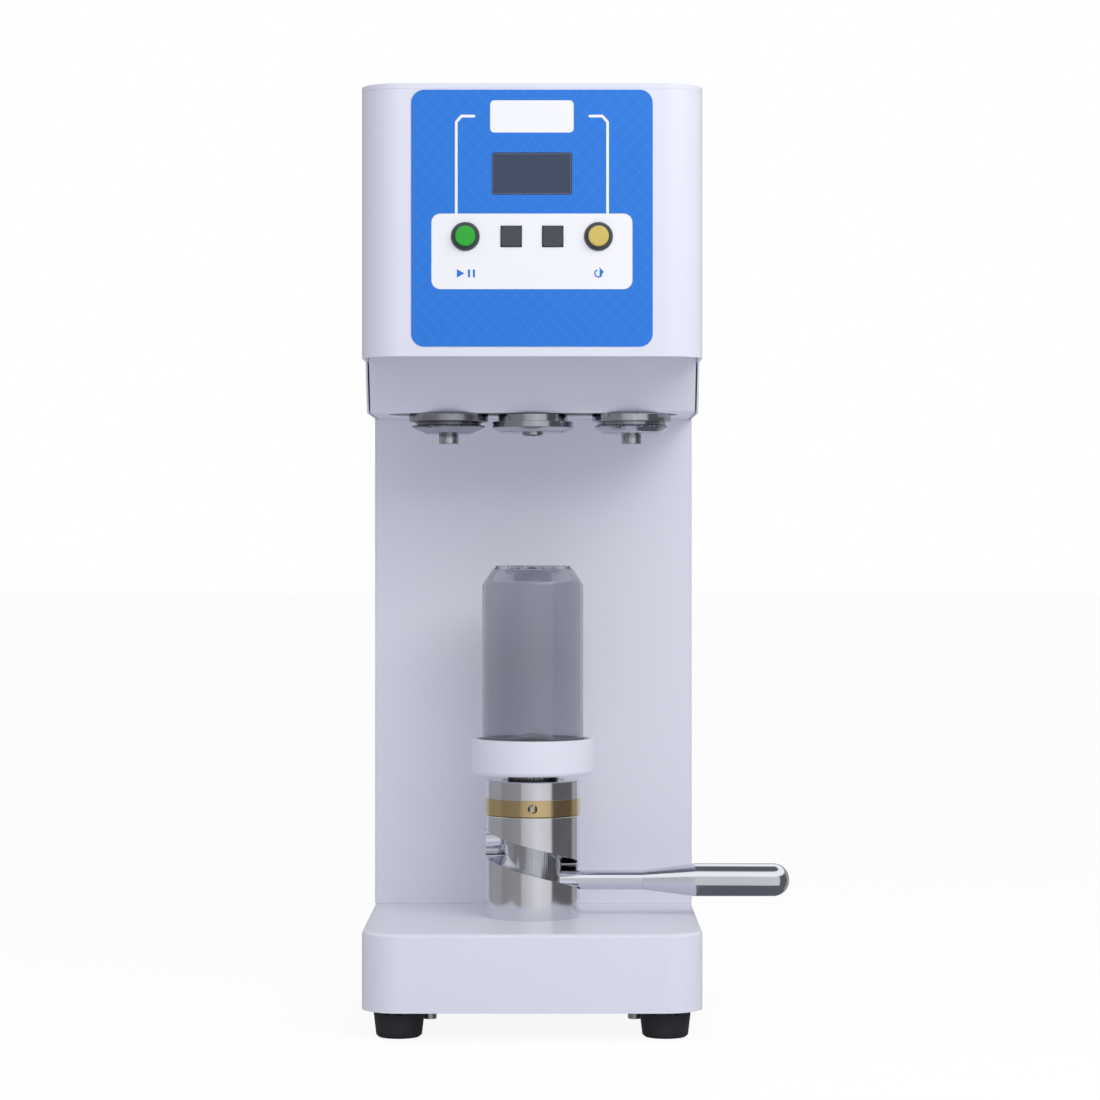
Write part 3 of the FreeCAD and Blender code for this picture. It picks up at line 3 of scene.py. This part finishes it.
import bpy
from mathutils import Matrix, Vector


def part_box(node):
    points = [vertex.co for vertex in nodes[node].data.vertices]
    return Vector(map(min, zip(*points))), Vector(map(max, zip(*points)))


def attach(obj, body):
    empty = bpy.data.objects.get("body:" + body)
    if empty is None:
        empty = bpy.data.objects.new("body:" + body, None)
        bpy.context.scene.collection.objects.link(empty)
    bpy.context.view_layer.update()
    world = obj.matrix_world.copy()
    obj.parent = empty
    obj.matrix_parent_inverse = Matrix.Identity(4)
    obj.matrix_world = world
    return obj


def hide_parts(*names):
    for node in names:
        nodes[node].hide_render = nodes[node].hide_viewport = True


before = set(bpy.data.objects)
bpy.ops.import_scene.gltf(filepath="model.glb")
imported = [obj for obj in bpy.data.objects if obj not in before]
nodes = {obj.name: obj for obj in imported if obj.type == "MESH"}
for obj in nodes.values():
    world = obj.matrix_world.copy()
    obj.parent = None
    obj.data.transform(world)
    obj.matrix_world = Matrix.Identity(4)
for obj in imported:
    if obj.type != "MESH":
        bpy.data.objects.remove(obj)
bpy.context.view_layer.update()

# ---- The camera ----
# It stands two metres in front of the machine, level, a little over half way up, and a little
# to the right of the seaming axis.
axis_low, axis_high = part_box("lift_barrel")
axis_x = (axis_low.x + axis_high.x) / 2
axis_y = (axis_low.y + axis_high.y) / 2

camera_aside = 0.011
camera_distance = 2.047
camera_height = 0.2995
lens_mm, sensor_mm = 104.7, 36

bpy.ops.object.camera_add(
    location=(axis_x + camera_aside, axis_y - camera_distance, camera_height),
    rotation=(math.pi / 2, 0, 0),
)
camera = bpy.context.object
camera.data.lens = lens_mm
camera.data.sensor_width = sensor_mm
bpy.context.scene.camera = camera
bpy.context.scene.view_settings.view_transform = "Standard"


# ---- The studio ----
# A white room with two soft lamps at the front right. Metal sees the room's soft box and its
# grey flags as upright bands, and the pale floor keeps the machine's shadow.
class Wire:
    """An output of a node. Python's operators on it add Math nodes."""

    def __init__(self, board, socket):
        self.board = board
        self.socket = socket

    def math(self, operation, *others):
        return self.board.node("Math", {"operation": operation}, [self, *others])

    def __add__(self, other):
        return self.math("ADD", other)

    def __sub__(self, other):
        return self.math("SUBTRACT", other)

    def __rsub__(self, other):
        return self.board.node("Math", {"operation": "SUBTRACT"}, [other, self])

    def __mul__(self, other):
        return self.math("MULTIPLY", other)

    def __truediv__(self, other):
        return self.math("DIVIDE", other)

    def __gt__(self, other):
        return self.math("GREATER_THAN", other)

    def __abs__(self):
        return self.math("ABSOLUTE")

    __radd__ = __add__
    __rmul__ = __mul__


class Board:
    """The nodes of one material or of the world. node() adds one of any type."""

    def __init__(self, owner):
        owner.use_nodes = True
        self.owner = owner
        self.tree = owner.node_tree

    def fill(self, made, inputs):
        """Gives a node's sockets, by name or by place, their values or links."""
        pairs = inputs.items() if isinstance(inputs, dict) else enumerate(inputs)
        for key, value in pairs:
            if isinstance(value, Wire):
                self.tree.links.new(value.socket, made.inputs[key])
            else:
                made.inputs[key].default_value = value

    def node(self, kind, settings, inputs, output=0):
        made = self.tree.nodes.new("ShaderNode" + kind)
        for key, value in settings.items():
            if key == "stops":
                band = made.color_ramp.elements
                band[0].position, band[0].color = value[0]
                band[1].position, band[1].color = value[-1]
                for place, tint in value[1:-1]:
                    band.new(place).color = tint
            else:
                setattr(made, key, value)
        self.fill(made, inputs)
        return Wire(self, made.outputs[output])

    def mix(self, factor, first, second):
        """A colour between two others."""
        inputs = {0: factor, 6: first, 7: second}
        return self.node("Mix", {"data_type": "RGBA"}, inputs, output=2)


def span(u, v):
    """The length of the line whose two sides are u and v."""
    return (u * u + v * v).math("SQRT")


def colour(red, green, blue):
    """A colour as screens give it, 0 to 255, in the linear values that shaders take."""
    parts = [part / 255 for part in (red, green, blue)]
    return (*[p / 12.92 if p < 0.04045 else ((p + 0.055) / 1.055) ** 2.4 for p in parts], 1)


world = bpy.data.worlds.new("white_studio")
bpy.context.scene.world = world
room = Board(world)
path_camera = room.node("LightPath", {}, {}, output="Is Camera Ray")
path_glossy = room.node("LightPath", {}, {}, output="Is Glossy Ray")
path_clear = room.node("LightPath", {}, {}, output="Is Transmission Ray")
direction = room.node("TexCoord", {}, {}, output="Generated")
across = room.node("SeparateXYZ", {}, [direction], output=0)
away = room.node("SeparateXYZ", {}, [direction], output=1)
upward = room.node("SeparateXYZ", {}, [direction], output=2)
turn = across.math("ARCTAN2", away * -1) / (2 * math.pi) + 0.5


def flag(level, blue=1.03):
    return (level, level, level * blue, 1)


# A band's place is its bearing from the camera's side, rightwards, from -180 to 180 degrees.
bands = [
    (-180, 0.36), (-122, 0.34), (-119, 0.27), (-116, 0.34), (-84, 0.33), (-78, 0.26), (-30, 0.30),
    (-26, 0.50), (-6, 0.62), (12, 0.76), (44, 0.66), (50, 0.12), (108, 0.13), (114, 0.36), (180, 0.36),
]
stops = [((bearing + 180) / 360, flag(level)) for bearing, level in bands]
walls = room.node("ValToRGB", {"stops": stops}, [turn])


def rise(value, low, high):
    """0 below low, 1 above high, and even between."""
    return value.board.node("MapRange", {}, {"Value": value, "From Min": low, "From Max": high})


soft_box = rise(upward, 0.44, 0.50) - rise(upward, 0.86, 0.92)
dark_ends = rise(upward, 0.89, 0.95) + rise(upward * -1, 0.52, 0.60)
seen_by_metal = room.mix(soft_box, walls, (1.1, 1.1, 1.15, 1))
seen_by_metal = room.mix(dark_ends, seen_by_metal, (0.12, 0.125, 0.15, 1))
ambient = room.mix(path_glossy, (0.52, 0.53, 0.60, 1), seen_by_metal)
shown = room.mix((path_camera + path_clear).math("MINIMUM", 1), ambient, (1, 1, 1, 1))
room.fill(world.node_tree.nodes["Background"], {"Color": shown})

for place, aim, wide, power in (
    ((0.35, -1.60, 1.45), (0, 0, 0.25), 1.2, 9),
    ((0.62, -0.70, 0.90), (0, 0, 0.50), 0.45, 2.6),
):
    bpy.ops.object.light_add(type="AREA", location=place)
    lamp = bpy.context.object
    lamp.data.shape = "SQUARE"
    lamp.data.size, lamp.data.energy = wide, power
    lamp.rotation_mode = "QUATERNION"
    lamp.rotation_quaternion = (lamp.location - Vector(aim)).to_track_quat("Z", "Y")
    lamp.visible_glossy = False

bpy.ops.mesh.primitive_plane_add(size=40, location=(0, 0, 0))
floor = bpy.context.object
floor.name = "pale_floor"
bpy.ops.object.transform_apply()
pale = Board(bpy.data.materials.new("pale_floor"))
pale_shader = pale.tree.nodes["Principled BSDF"]
pale.fill(pale_shader, {"Base Color": colour(236, 236, 240), "Roughness": 0.8, "Specular IOR Level": 0.1})
seen = pale.node("LightPath", {}, {}, output="Is Camera Ray")
through = pale.node("LightPath", {}, {}, output="Is Transmission Ray")
white = pale.node("Emission", {}, {"Color": (1, 1, 1, 1), "Strength": 1.05})
shadow_left = 0.13
bright = (seen + through).math("MINIMUM", 1) * (1 - shadow_left)
mixed = pale.node("MixShader", {}, [bright, Wire(pale, pale_shader.outputs[0]), white])
pale.fill(pale.tree.nodes["Material Output"], {"Surface": mixed})
floor.data.materials.append(pale.owner)
floor.visible_glossy = False


# ---- Painted covers ----
# Folded steel sheet, powder coated in a cool white: the base cover, the column, its two sides,
# the throat tray, the head cover and its lid, and the rear cover.
class Finish(Board):
    """A material with the one Principled shader, and the coordinates of its piece in metres."""

    def __init__(self, name):
        super().__init__(bpy.data.materials.new(name))
        self.shader = self.tree.nodes["Principled BSDF"]

    def place(self):
        """The three coordinates of a point of the piece."""
        here = self.node("TexCoord", {}, {}, output="Object")
        return [self.node("SeparateXYZ", {}, [here], output=part) for part in range(3)]

    def grain(self, scale, detail=2.0, vector=None):
        """Noise from 0 to 1 whose lumps are about 1 / scale metres across."""
        here = vector or self.node("TexCoord", {}, {}, output="Object")
        return self.node("TexNoise", {}, {"Vector": here, "Scale": scale, "Detail": detail})

    def set(self, **sockets):
        self.fill(self.shader, {key.replace("_", " "): value for key, value in sockets.items()})

    def bump(self, height, strength, distance):
        inputs = {"Strength": strength, "Distance": distance, "Height": height}
        self.fill(self.shader, {"Normal": self.node("Bump", {}, inputs)})


def painted(name, tint):
    """Powder coat: a faint orange peel, a few dust nibs and a slightly uneven gloss."""
    paint = Finish(name)
    peel = paint.grain(620, 1.0)
    drift = paint.grain(11, 3.0)
    nibs = (paint.grain(240, 0.0) > 0.83) * 0.4
    paint.set(
        Base_Color=paint.mix(drift, colour(*[part - 3 for part in tint]), colour(*tint)),
        Roughness=0.30 + drift * 0.10,
        Specular_IOR_Level=0.45,
    )
    paint.bump(peel + nibs, 0.12, 0.0001)
    return paint.owner


def alone(thing):
    """Selects one object and makes it the active one."""
    bpy.ops.object.select_all(action="DESELECT")
    thing.select_set(True)
    bpy.context.view_layer.objects.active = thing


merge_distance = 1e-6
flat_angle = math.radians(0.5)
smooth_angle = math.radians(35)
edge_angle = math.radians(40)


def dressed(node, name, body, material, edge=0.0):
    """A joined copy of a node's solid with its edges broken and shaded smooth, to take its place."""
    alone(nodes[node])
    bpy.ops.object.duplicate()
    piece = bpy.context.object
    piece.parent = None
    piece.name = piece.data.name = name
    bpy.ops.object.mode_set(mode="EDIT")
    bpy.ops.mesh.select_all(action="SELECT")
    bpy.ops.mesh.remove_doubles(threshold=merge_distance)
    if edge:
        bpy.ops.mesh.dissolve_limited(angle_limit=flat_angle)
    bpy.ops.object.mode_set(mode="OBJECT")
    if edge:
        rim = piece.modifiers.new("rim", "BEVEL")
        rim.width, rim.segments = edge, 2
        rim.limit_method, rim.angle_limit = "ANGLE", edge_angle
        bpy.ops.object.modifier_apply(modifier=rim.name)
    bpy.ops.object.shade_smooth_by_angle(angle=smooth_angle)
    even = piece.modifiers.new("even", "WEIGHTED_NORMAL")
    even.keep_sharp = True
    bpy.ops.object.modifier_apply(modifier=even.name)
    piece.data.materials.clear()
    piece.data.materials.append(material)
    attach(piece, body)
    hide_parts(node)


cool_white = painted("powder_coat", (238, 239, 246))
for panel in (
    "base_cover", "column_front", "side_panel_left", "side_panel_right",
    "throat_tray", "head_cover", "top_cover", "rear_cover",
):
    dressed(panel, panel + "_painted", "machine", cool_white, edge=0.0002)


# ---- Rubber feet ----
# Four black moulded rubber feet, tapered, with a fine matt grain from the mould.
rubber = Finish("foot_rubber")
speckle = rubber.grain(1800, 3.0)
scuff = rubber.grain(70, 4.0)
rubber.set(
    Base_Color=rubber.mix(scuff, colour(34, 35, 38), colour(52, 53, 57)),
    Roughness=0.55 + scuff * 0.2,
    Specular_IOR_Level=0.35,
)
rubber.bump(speckle, 0.35, 0.0002)
dressed("rubber_feet", "feet_rubber", "machine", rubber.owner)


# ---- Frame and fasteners ----
# Zinc plated steel: the base plate, the plates inside, the pedestal, and the screws of the base,
# the barrel and the rear cover. The plating is a blue grey with faint yellow clouds and fine
# rolling lines.
zinc = Finish("zinc_plate")
cloud = zinc.grain(26, 4.0)
zinc_place = zinc.node("TexCoord", {}, {}, output="Object")
flow = zinc.node("Mapping", {}, {"Vector": zinc_place, "Scale": (40, 900, 900)})
rolled = zinc.grain(1, 2.0, vector=flow)
zinc.set(
    Base_Color=zinc.mix(cloud, colour(168, 171, 180), colour(190, 189, 184)),
    Metallic=1.0,
    Roughness=0.30 + cloud * 0.14 + rolled * 0.06,
)
zinc.bump(rolled, 0.15, 0.00005)
for plated in (
    "base_plate", "frame_plates", "mechanism_plate", "barrel_pedestal",
    "base_screws", "barrel_bolts", "rear_cover_screws",
):
    dressed(plated, plated + "_plated", "machine", zinc.owner, edge=0.0002)


# ---- Turned steel of the lift ----
# The barrel and its collar are turned and hard chromed; the plunger, the shaft, the thrust
# bearing and the ring's set screw are ground. Fine rings run round the seaming axis.
ring_pitch = 0.00018
ring_depth = 0.00001


def turned_metal(name, tint, roughness, centre=(axis_x, axis_y)):
    """Metal from the lathe: rings round an upright axis, on its faces as on its sides."""
    metal = Finish(name)
    x, y, z = metal.place()
    ring_place = metal.node("CombineXYZ", {}, [span(x - centre[0], y - centre[1]), z, 0.0])
    rings = metal.grain(1 / ring_pitch, 1.0, vector=ring_place)
    haze = metal.grain(60, 3.0)
    dark = tuple(part * 0.93 for part in tint)
    metal.set(
        Base_Color=metal.mix(haze, colour(*dark), colour(*tint)),
        Metallic=1.0,
        Roughness=roughness + (rings - 0.5) * 0.06 + (haze - 0.5) * 0.05,
    )
    metal.bump(rings, 0.25, ring_depth)
    return metal.owner


chrome = turned_metal("hard_chrome", (236, 237, 242), 0.09)
ground = turned_metal("ground_steel", (205, 206, 212), 0.2)
dressed("lift_barrel", "barrel_chromed", "machine", chrome, edge=0.0002)
dressed("lift_collar", "collar_chromed", "lever", chrome, edge=0.0002)
dressed("plunger", "plunger_ground", "lever", ground)
dressed("turntable_shaft", "turntable_shaft_ground", "turntable", ground)
dressed("thrust_bearing", "thrust_bearing_ground", "lift_platform", ground)
dressed("ring_set_screw", "set_screw_ground", "lever", ground)


# ---- Brass lock ring ----
# A turned brass ring that locks the barrel, a little hazed by handling. Its fine rings run round
# the seaming axis too.
brass = turned_metal("brass", (226, 200, 150), 0.17)
dressed("lock_ring", "lock_ring_brass", "lever", brass, edge=0.0002)


# ---- Lever ----
# A turned steel rod and a long smooth grip, both polished and chromed, lying along X.
lever = Finish("polished_lever")
x, y, z = lever.place()
rod_low, rod_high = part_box("lever_rod")
rod_radius = span(y - axis_y, z - (rod_low.z + rod_high.z) / 2)
lever_rings = lever.grain(5000, 1.0, vector=lever.node("CombineXYZ", {}, [x, rod_radius, 0.0]))
smear = lever.grain(45, 3.0)
lever.set(
    Base_Color=lever.mix(smear, colour(214, 215, 222), colour(228, 229, 235)),
    Metallic=1.0,
    Roughness=0.11 + (lever_rings - 0.5) * 0.05 + (smear - 0.5) * 0.06,
)
lever.bump(lever_rings, 0.25, ring_depth)
dressed("lever_rod", "lever_rod_polished", "lever", lever.owner, edge=0.0002)
dressed("lever_grip", "lever_grip_polished", "lever", lever.owner)


# ---- Can holder ----
# White acetal turned to a ring that the can's foot drops into. The lathe left fine rings, half
# polished out.
acetal = Finish("white_acetal")
x, y, z = acetal.place()
holder_radius = span(x - axis_x, y - axis_y)
acetal_rings = acetal.grain(4200, 1.0, vector=acetal.node("CombineXYZ", {}, [holder_radius, z, 0.0]))
acetal.set(
    Base_Color=acetal.mix(acetal_rings, colour(236, 236, 243), colour(243, 243, 249)),
    Roughness=0.30 + acetal_rings * 0.12,
    Specular_IOR_Level=0.5,
)
acetal.bump(acetal_rings, 0.2, 0.00002)
dressed("can_holder", "can_holder_acetal", "turntable", acetal.owner)


# ---- Clear can ----
# A blown clear can with a necked shoulder, a rolled rim and a domed foot. Its plastic is tinted
# grey as painted shade for the dark room it mirrors, and is not quite even.
clear = Finish("clear_can")
blown = clear.grain(30, 2.0)
clear.set(
    # The grey tint is painted shade, standing for the dark room the can mirrors.
    Base_Color=clear.mix(blown, colour(205, 206, 212), colour(212, 213, 219)),
    Roughness=0.02 + blown * 0.02,
    Transmission_Weight=1.0,
    IOR=1.55,
)
clear.bump(blown, 0.05, 0.0004)
dressed("can", "can_clear", "loose_can", clear.owner)


# ---- Seaming chuck and rollers ----
# Hardened tool steel, ground: the chuck that fits the can's end, and the two rollers that roll
# the seam. The first roller is duller than the second, and its darker tint is painted shade.
tool = turned_metal("tool_steel", (196, 198, 206), 0.14)
dressed("seaming_chuck", "chuck_ground", "chuck_spindle", tool, edge=0.0002)
dressed("chuck_bolt", "chuck_bolt_plated", "chuck_spindle", tool, edge=0.0002)


def middle(node):
    """Where a node's upright middle line stands."""
    low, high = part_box(node)
    return (low.x + high.x) / 2, (low.y + high.y) / 2


# The first roller's darker tint is painted shade; its rougher finish is its own.
shaded_first_steel = turned_metal("first_roller_steel_painted_shade", (178, 179, 186), 0.26, centre=middle("first_roller"))
second_steel = turned_metal("second_roller_steel", (205, 207, 213), 0.12, centre=middle("second_roller"))
dressed("first_roller", "first_roller_ground", "first_roller_body", shaded_first_steel)
dressed("second_roller", "second_roller_ground", "second_roller_body", second_steel)


# ---- Arms, axles, cam and followers ----
# Cast iron arms swing on ground pins; their ball bearing followers run on the cam.
cast = Finish("cast_iron")
sand = cast.grain(1500, 4.0)
cast.set(
    Base_Color=cast.mix(sand, colour(70, 72, 77), colour(96, 98, 104)),
    Metallic=0.8,
    Roughness=0.45 + sand * 0.2,
)
cast.bump(sand, 0.4, 0.0002)
dressed("first_arm", "first_arm_cast", "first_arm_group", cast.owner, edge=0.0003)
dressed("second_arm", "second_arm_cast", "second_arm_group", cast.owner, edge=0.0003)
dressed("seaming_cam", "seaming_cam_cast", "cam", cast.owner)
for pin, body in (
    ("arm_pivots", "machine"),
    ("first_axle", "first_arm_group"),
    ("second_axle", "second_arm_group"),
    ("first_follower", "first_arm_group"),
    ("second_follower", "second_arm_group"),
):
    pin_steel = turned_metal(pin + "_steel", (205, 206, 212), 0.18, centre=middle(pin))
    dressed(pin, pin + "_ground", body, pin_steel)


# ---- Spindle and drive ----
# The chuck's spindle turns in two ball bearings in a bored housing; a flat belt joins its
# aluminium pulley to the motor's.
dressed("spindle", "spindle_ground", "chuck_spindle", ground)
dressed("spindle_housing", "spindle_housing_turned", "machine", ground)
dressed("spindle_bearings", "spindle_bearings_ground", "machine", ground)
motor_centre = middle("motor_pulley")
shaft_steel = turned_metal("motor_shaft_steel", (205, 206, 212), 0.18, centre=motor_centre)
dressed("motor_shaft", "motor_shaft_ground", "motor_rotor", shaft_steel)
spindle_alloy = turned_metal("spindle_pulley_alloy", (200, 202, 206), 0.28)
motor_alloy = turned_metal("motor_pulley_alloy", (200, 202, 206), 0.28, centre=motor_centre)
dressed("spindle_pulley", "spindle_pulley_turned", "chuck_spindle", spindle_alloy)
dressed("motor_pulley", "motor_pulley_turned", "motor_rotor", motor_alloy)

belt = Finish("belt_rubber")
weave = belt.grain(2600, 2.0)
belt.set(Base_Color=belt.mix(weave, colour(30, 30, 33), colour(46, 46, 50)), Roughness=0.6 + weave * 0.15)
belt.bump(weave, 0.4, 0.0002)
dressed("drive_belt", "drive_belt_rubber", "machine", belt.owner)

enamel = Finish("motor_enamel")
run = enamel.grain(300, 2.0)
enamel.set(
    Base_Color=enamel.mix(run, colour(58, 60, 66), colour(68, 70, 76)),
    Roughness=0.35 + run * 0.1,
)
enamel.bump(run, 0.15, 0.0001)
dressed("drive_motor", "drive_motor_enamel", "machine", enamel.owner, edge=0.0004)
dressed("cam_gearmotor", "cam_gearmotor_enamel", "machine", enamel.owner, edge=0.0003)


# ---- Control film ----
# A printed polyester film on the head's front: blue with a fine diamond lattice, a white field
# round the buttons, two white brackets and a bare white name plate. Under the round buttons it
# has plain signs: run and pause, and a turned arrow.
film = Finish("printed_film")
x, _, z = film.place()
film_low, film_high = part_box("control_overlay")
start_x, button_z = [sum(pair) / 2 for pair in zip(*[(c.x, c.z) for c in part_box("start_bezel")])]
stop_x = sum(c.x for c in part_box("stop_bezel")) / 2
film_x = (film_low.x + film_high.x) / 2
across_film = x - film_x
print_edge = 0.00012


def inside(distance):
    """1 within a shape whose outline has this distance, negative inside, with a clean edge."""
    return (0.5 - distance / print_edge).math("MAXIMUM", 0).math("MINIMUM", 1)


def rounded(u, v, centre, half, corner):
    """The distance to a rounded rectangle's outline."""
    out_u = (abs(u - centre[0]) - (half[0] - corner)).math("MAXIMUM", 0)
    out_v = (abs(v - centre[1]) - (half[1] - corner)).math("MAXIMUM", 0)
    return span(out_u, out_v) - corner


def stroke(u, v, first, last, half_width):
    """The distance to a straight stroke between two points."""
    run_u, run_v = last[0] - first[0], last[1] - first[1]
    length = run_u * run_u + run_v * run_v
    share = ((u - first[0]) * run_u + (v - first[1]) * run_v) / length
    share = share.math("MAXIMUM", 0).math("MINIMUM", 1)
    gap_u = u - first[0] - share * run_u
    gap_v = v - first[1] - share * run_v
    return span(gap_u, gap_v) - half_width


def join(*distances):
    """The distance to several shapes taken together."""
    nearest = distances[0]
    for other in distances[1:]:
        nearest = nearest.math("MINIMUM", other)
    return nearest


lattice_wide, lattice_high = 0.0093, 0.0107
lattice_across = 0.007
line_half = 0.0001
slope = (across_film / lattice_wide, z / lattice_high)
first_lines = abs((slope[0] + slope[1]).math("FRACT") - 0.5) * lattice_across
second_lines = abs((slope[0] - slope[1]).math("FRACT") - 0.5) * lattice_across
lattice = inside(first_lines.math("MINIMUM", second_lines) - line_half)

field_centre, field_half, field_corner = (0, button_z - 0.0091), (0.0612, 0.0230), 0.0055
field = inside(rounded(across_film, z, field_centre, field_half, field_corner))
plate_centre, plate_half, plate_corner = (0, film_high.z - 0.0163), (0.0254, 0.0098), 0.0025
plate = inside(rounded(across_film, z, plate_centre, plate_half, plate_corner))

# A bracket runs up, turns in over a short slope, and ends level.
side = abs(across_film)
bracket_foot = (0.0461, button_z + 0.013)
bracket_shoulder = (0.0461, film_high.z - 0.0197)
bracket_bend = (0.0429, film_high.z - 0.0161)
bracket_end = (0.0353, film_high.z - 0.0161)
bracket_half = 0.0008
bracket = inside(join(
    stroke(side, z, bracket_foot, bracket_shoulder, bracket_half),
    stroke(side, z, bracket_shoulder, bracket_bend, bracket_half),
    stroke(side, z, bracket_bend, bracket_end, bracket_half),
))

# The run and pause sign is a triangle and two bars.
sign_z = button_z - 0.0225
u, v = x - start_x, z - sign_z
triangle_left = 0.0052
pause_bar_half, pause_bar_corner = (0.0007, 0.0024), 0.0002
slanted_sides = (u + triangle_left) * 0.5 + abs(v) * 0.87 - 0.0023
run_sign = join(
    (u + triangle_left).math("MULTIPLY", -1).math("MAXIMUM", slanted_sides),
    rounded(u, v, (0.0022, 0), pause_bar_half, pause_bar_corner),
    rounded(u, v, (0.0052, 0), pause_bar_half, pause_bar_corner),
)

# The turned arrow is an open ring and its head.
w = x - stop_x
ring_radius, ring_half = 0.0022, 0.00045
arc = abs(span(w, v) - ring_radius) - ring_half
arc = arc.math("MAXIMUM", (w + v) * 0.7 - 0.0009)
arrow_head = ((w - 0.0020) * 0.9 + abs(v - 0.0008) * 0.8 - 0.0012).math("MAXIMUM", (w - 0.0006) * -1)
signs = inside(join(run_sign, arc, arrow_head))

film_blue = colour(42, 126, 222)
ground_tint = film.mix(lattice * 0.55, film_blue, colour(86, 156, 232))
white_parts = field.math("MAXIMUM", plate).math("MAXIMUM", bracket)
printed = film.mix(white_parts, ground_tint, colour(254, 254, 254))
printed = film.mix(signs, printed, film_blue)
satin = film.grain(2400, 1.0)
film.set(Base_Color=printed, Roughness=0.34 + satin * 0.08, Specular_IOR_Level=0.4)
film.bump(satin, 0.08, 0.00003)
dressed("control_overlay", "control_film", "machine", film.owner, edge=0.0001)


# ---- Display ----
# A smoked window over the segment display; behind it stand the module and the control board.
glass = Finish("smoked_window")
x, _, z = glass.place()
window_low, window_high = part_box("display_window")
window_centre = ((window_low.x + window_high.x) / 2, (window_low.z + window_high.z) / 2)
window_half, window_corner = (0.0243, 0.0127), 0.0014
glow_inset, glow_half = 0.0006, 0.0002
window_outline = rounded(x, z, window_centre, window_half, window_corner)
edge_glow = inside(abs(window_outline + glow_inset) - glow_half)
murk = glass.grain(140, 2.0)
smoke = glass.mix(murk, colour(56, 67, 89), colour(60, 71, 93))
glass.set(
    Base_Color=glass.mix(edge_glow * 0.6, smoke, colour(126, 130, 138)),
    Roughness=0.12 + murk * 0.05,
    Specular_IOR_Level=0.5,
)
dressed("display_window", "display_window_smoked", "machine", glass.owner, edge=0.0001)

black = Finish("display_black")
dust = black.grain(900, 3.0)
black.set(Base_Color=black.mix(dust, colour(22, 22, 24), colour(34, 34, 37)), Roughness=0.4 + dust * 0.2)
black.bump(dust, 0.2, 0.00005)
dressed("display_module", "display_module_black", "machine", black.owner, edge=0.0003)

laminate = Finish("green_board")
glassfibre = laminate.grain(3000, 1.0)
copper = (laminate.grain(220, 0.0) > 0.52) * 0.5
laminate.set(
    Base_Color=laminate.mix(copper, colour(22, 84, 48), colour(34, 112, 62)),
    Roughness=0.35 + glassfibre * 0.1,
)
laminate.bump(copper, 0.2, 0.00005)
dressed("control_board", "control_board_green", "machine", laminate.owner)


# ---- Buttons ----
# Two round push buttons in dark bezels, green to start and yellow to stop, and two square dark
# keys between them; all are moulded plastic.
def moulded(name, tint, gloss):
    """Moulded plastic with a fine grain from the mould and a faint drift in its tint."""
    plastic = Finish(name)
    matt = plastic.grain(1600, 2.0)
    patch = plastic.grain(160, 2.0)
    deep = colour(*[part * 0.94 for part in tint])
    plastic.set(
        Base_Color=plastic.mix(patch, deep, colour(*tint)),
        Roughness=gloss + matt * 0.08,
        Specular_IOR_Level=0.45,
    )
    plastic.bump(matt, 0.12, 0.00004)
    return plastic.owner


dark_plastic = moulded("dark_plastic", (72, 77, 83), 0.36)
green = moulded("green_plastic", (50, 182, 54), 0.3)
dressed("start_button", "start_button_green", "start_button_body", green)
yellow = moulded("yellow_plastic", (224, 202, 103), 0.3)
dressed("stop_button", "stop_button_yellow", "stop_button_body", yellow)
for bezel in ("start_bezel", "stop_bezel"):
    dressed(bezel, bezel + "_dark", "machine", dark_plastic)
dressed("mode_key", "mode_key_dark", "mode_key_body", dark_plastic, edge=0.0004)
dressed("count_key", "count_key_dark", "count_key_body", dark_plastic, edge=0.0004)


# ---- Mains inlet and switch ----
# A black moulded inlet with its rocker switch, at the foot of the rear cover.
black_plastic = moulded("black_plastic", (34, 35, 38), 0.34)
dressed("power_inlet", "power_inlet_black", "machine", black_plastic, edge=0.0003)
dressed("power_switch", "power_switch_black", "power_rocker", black_plastic, edge=0.0003)
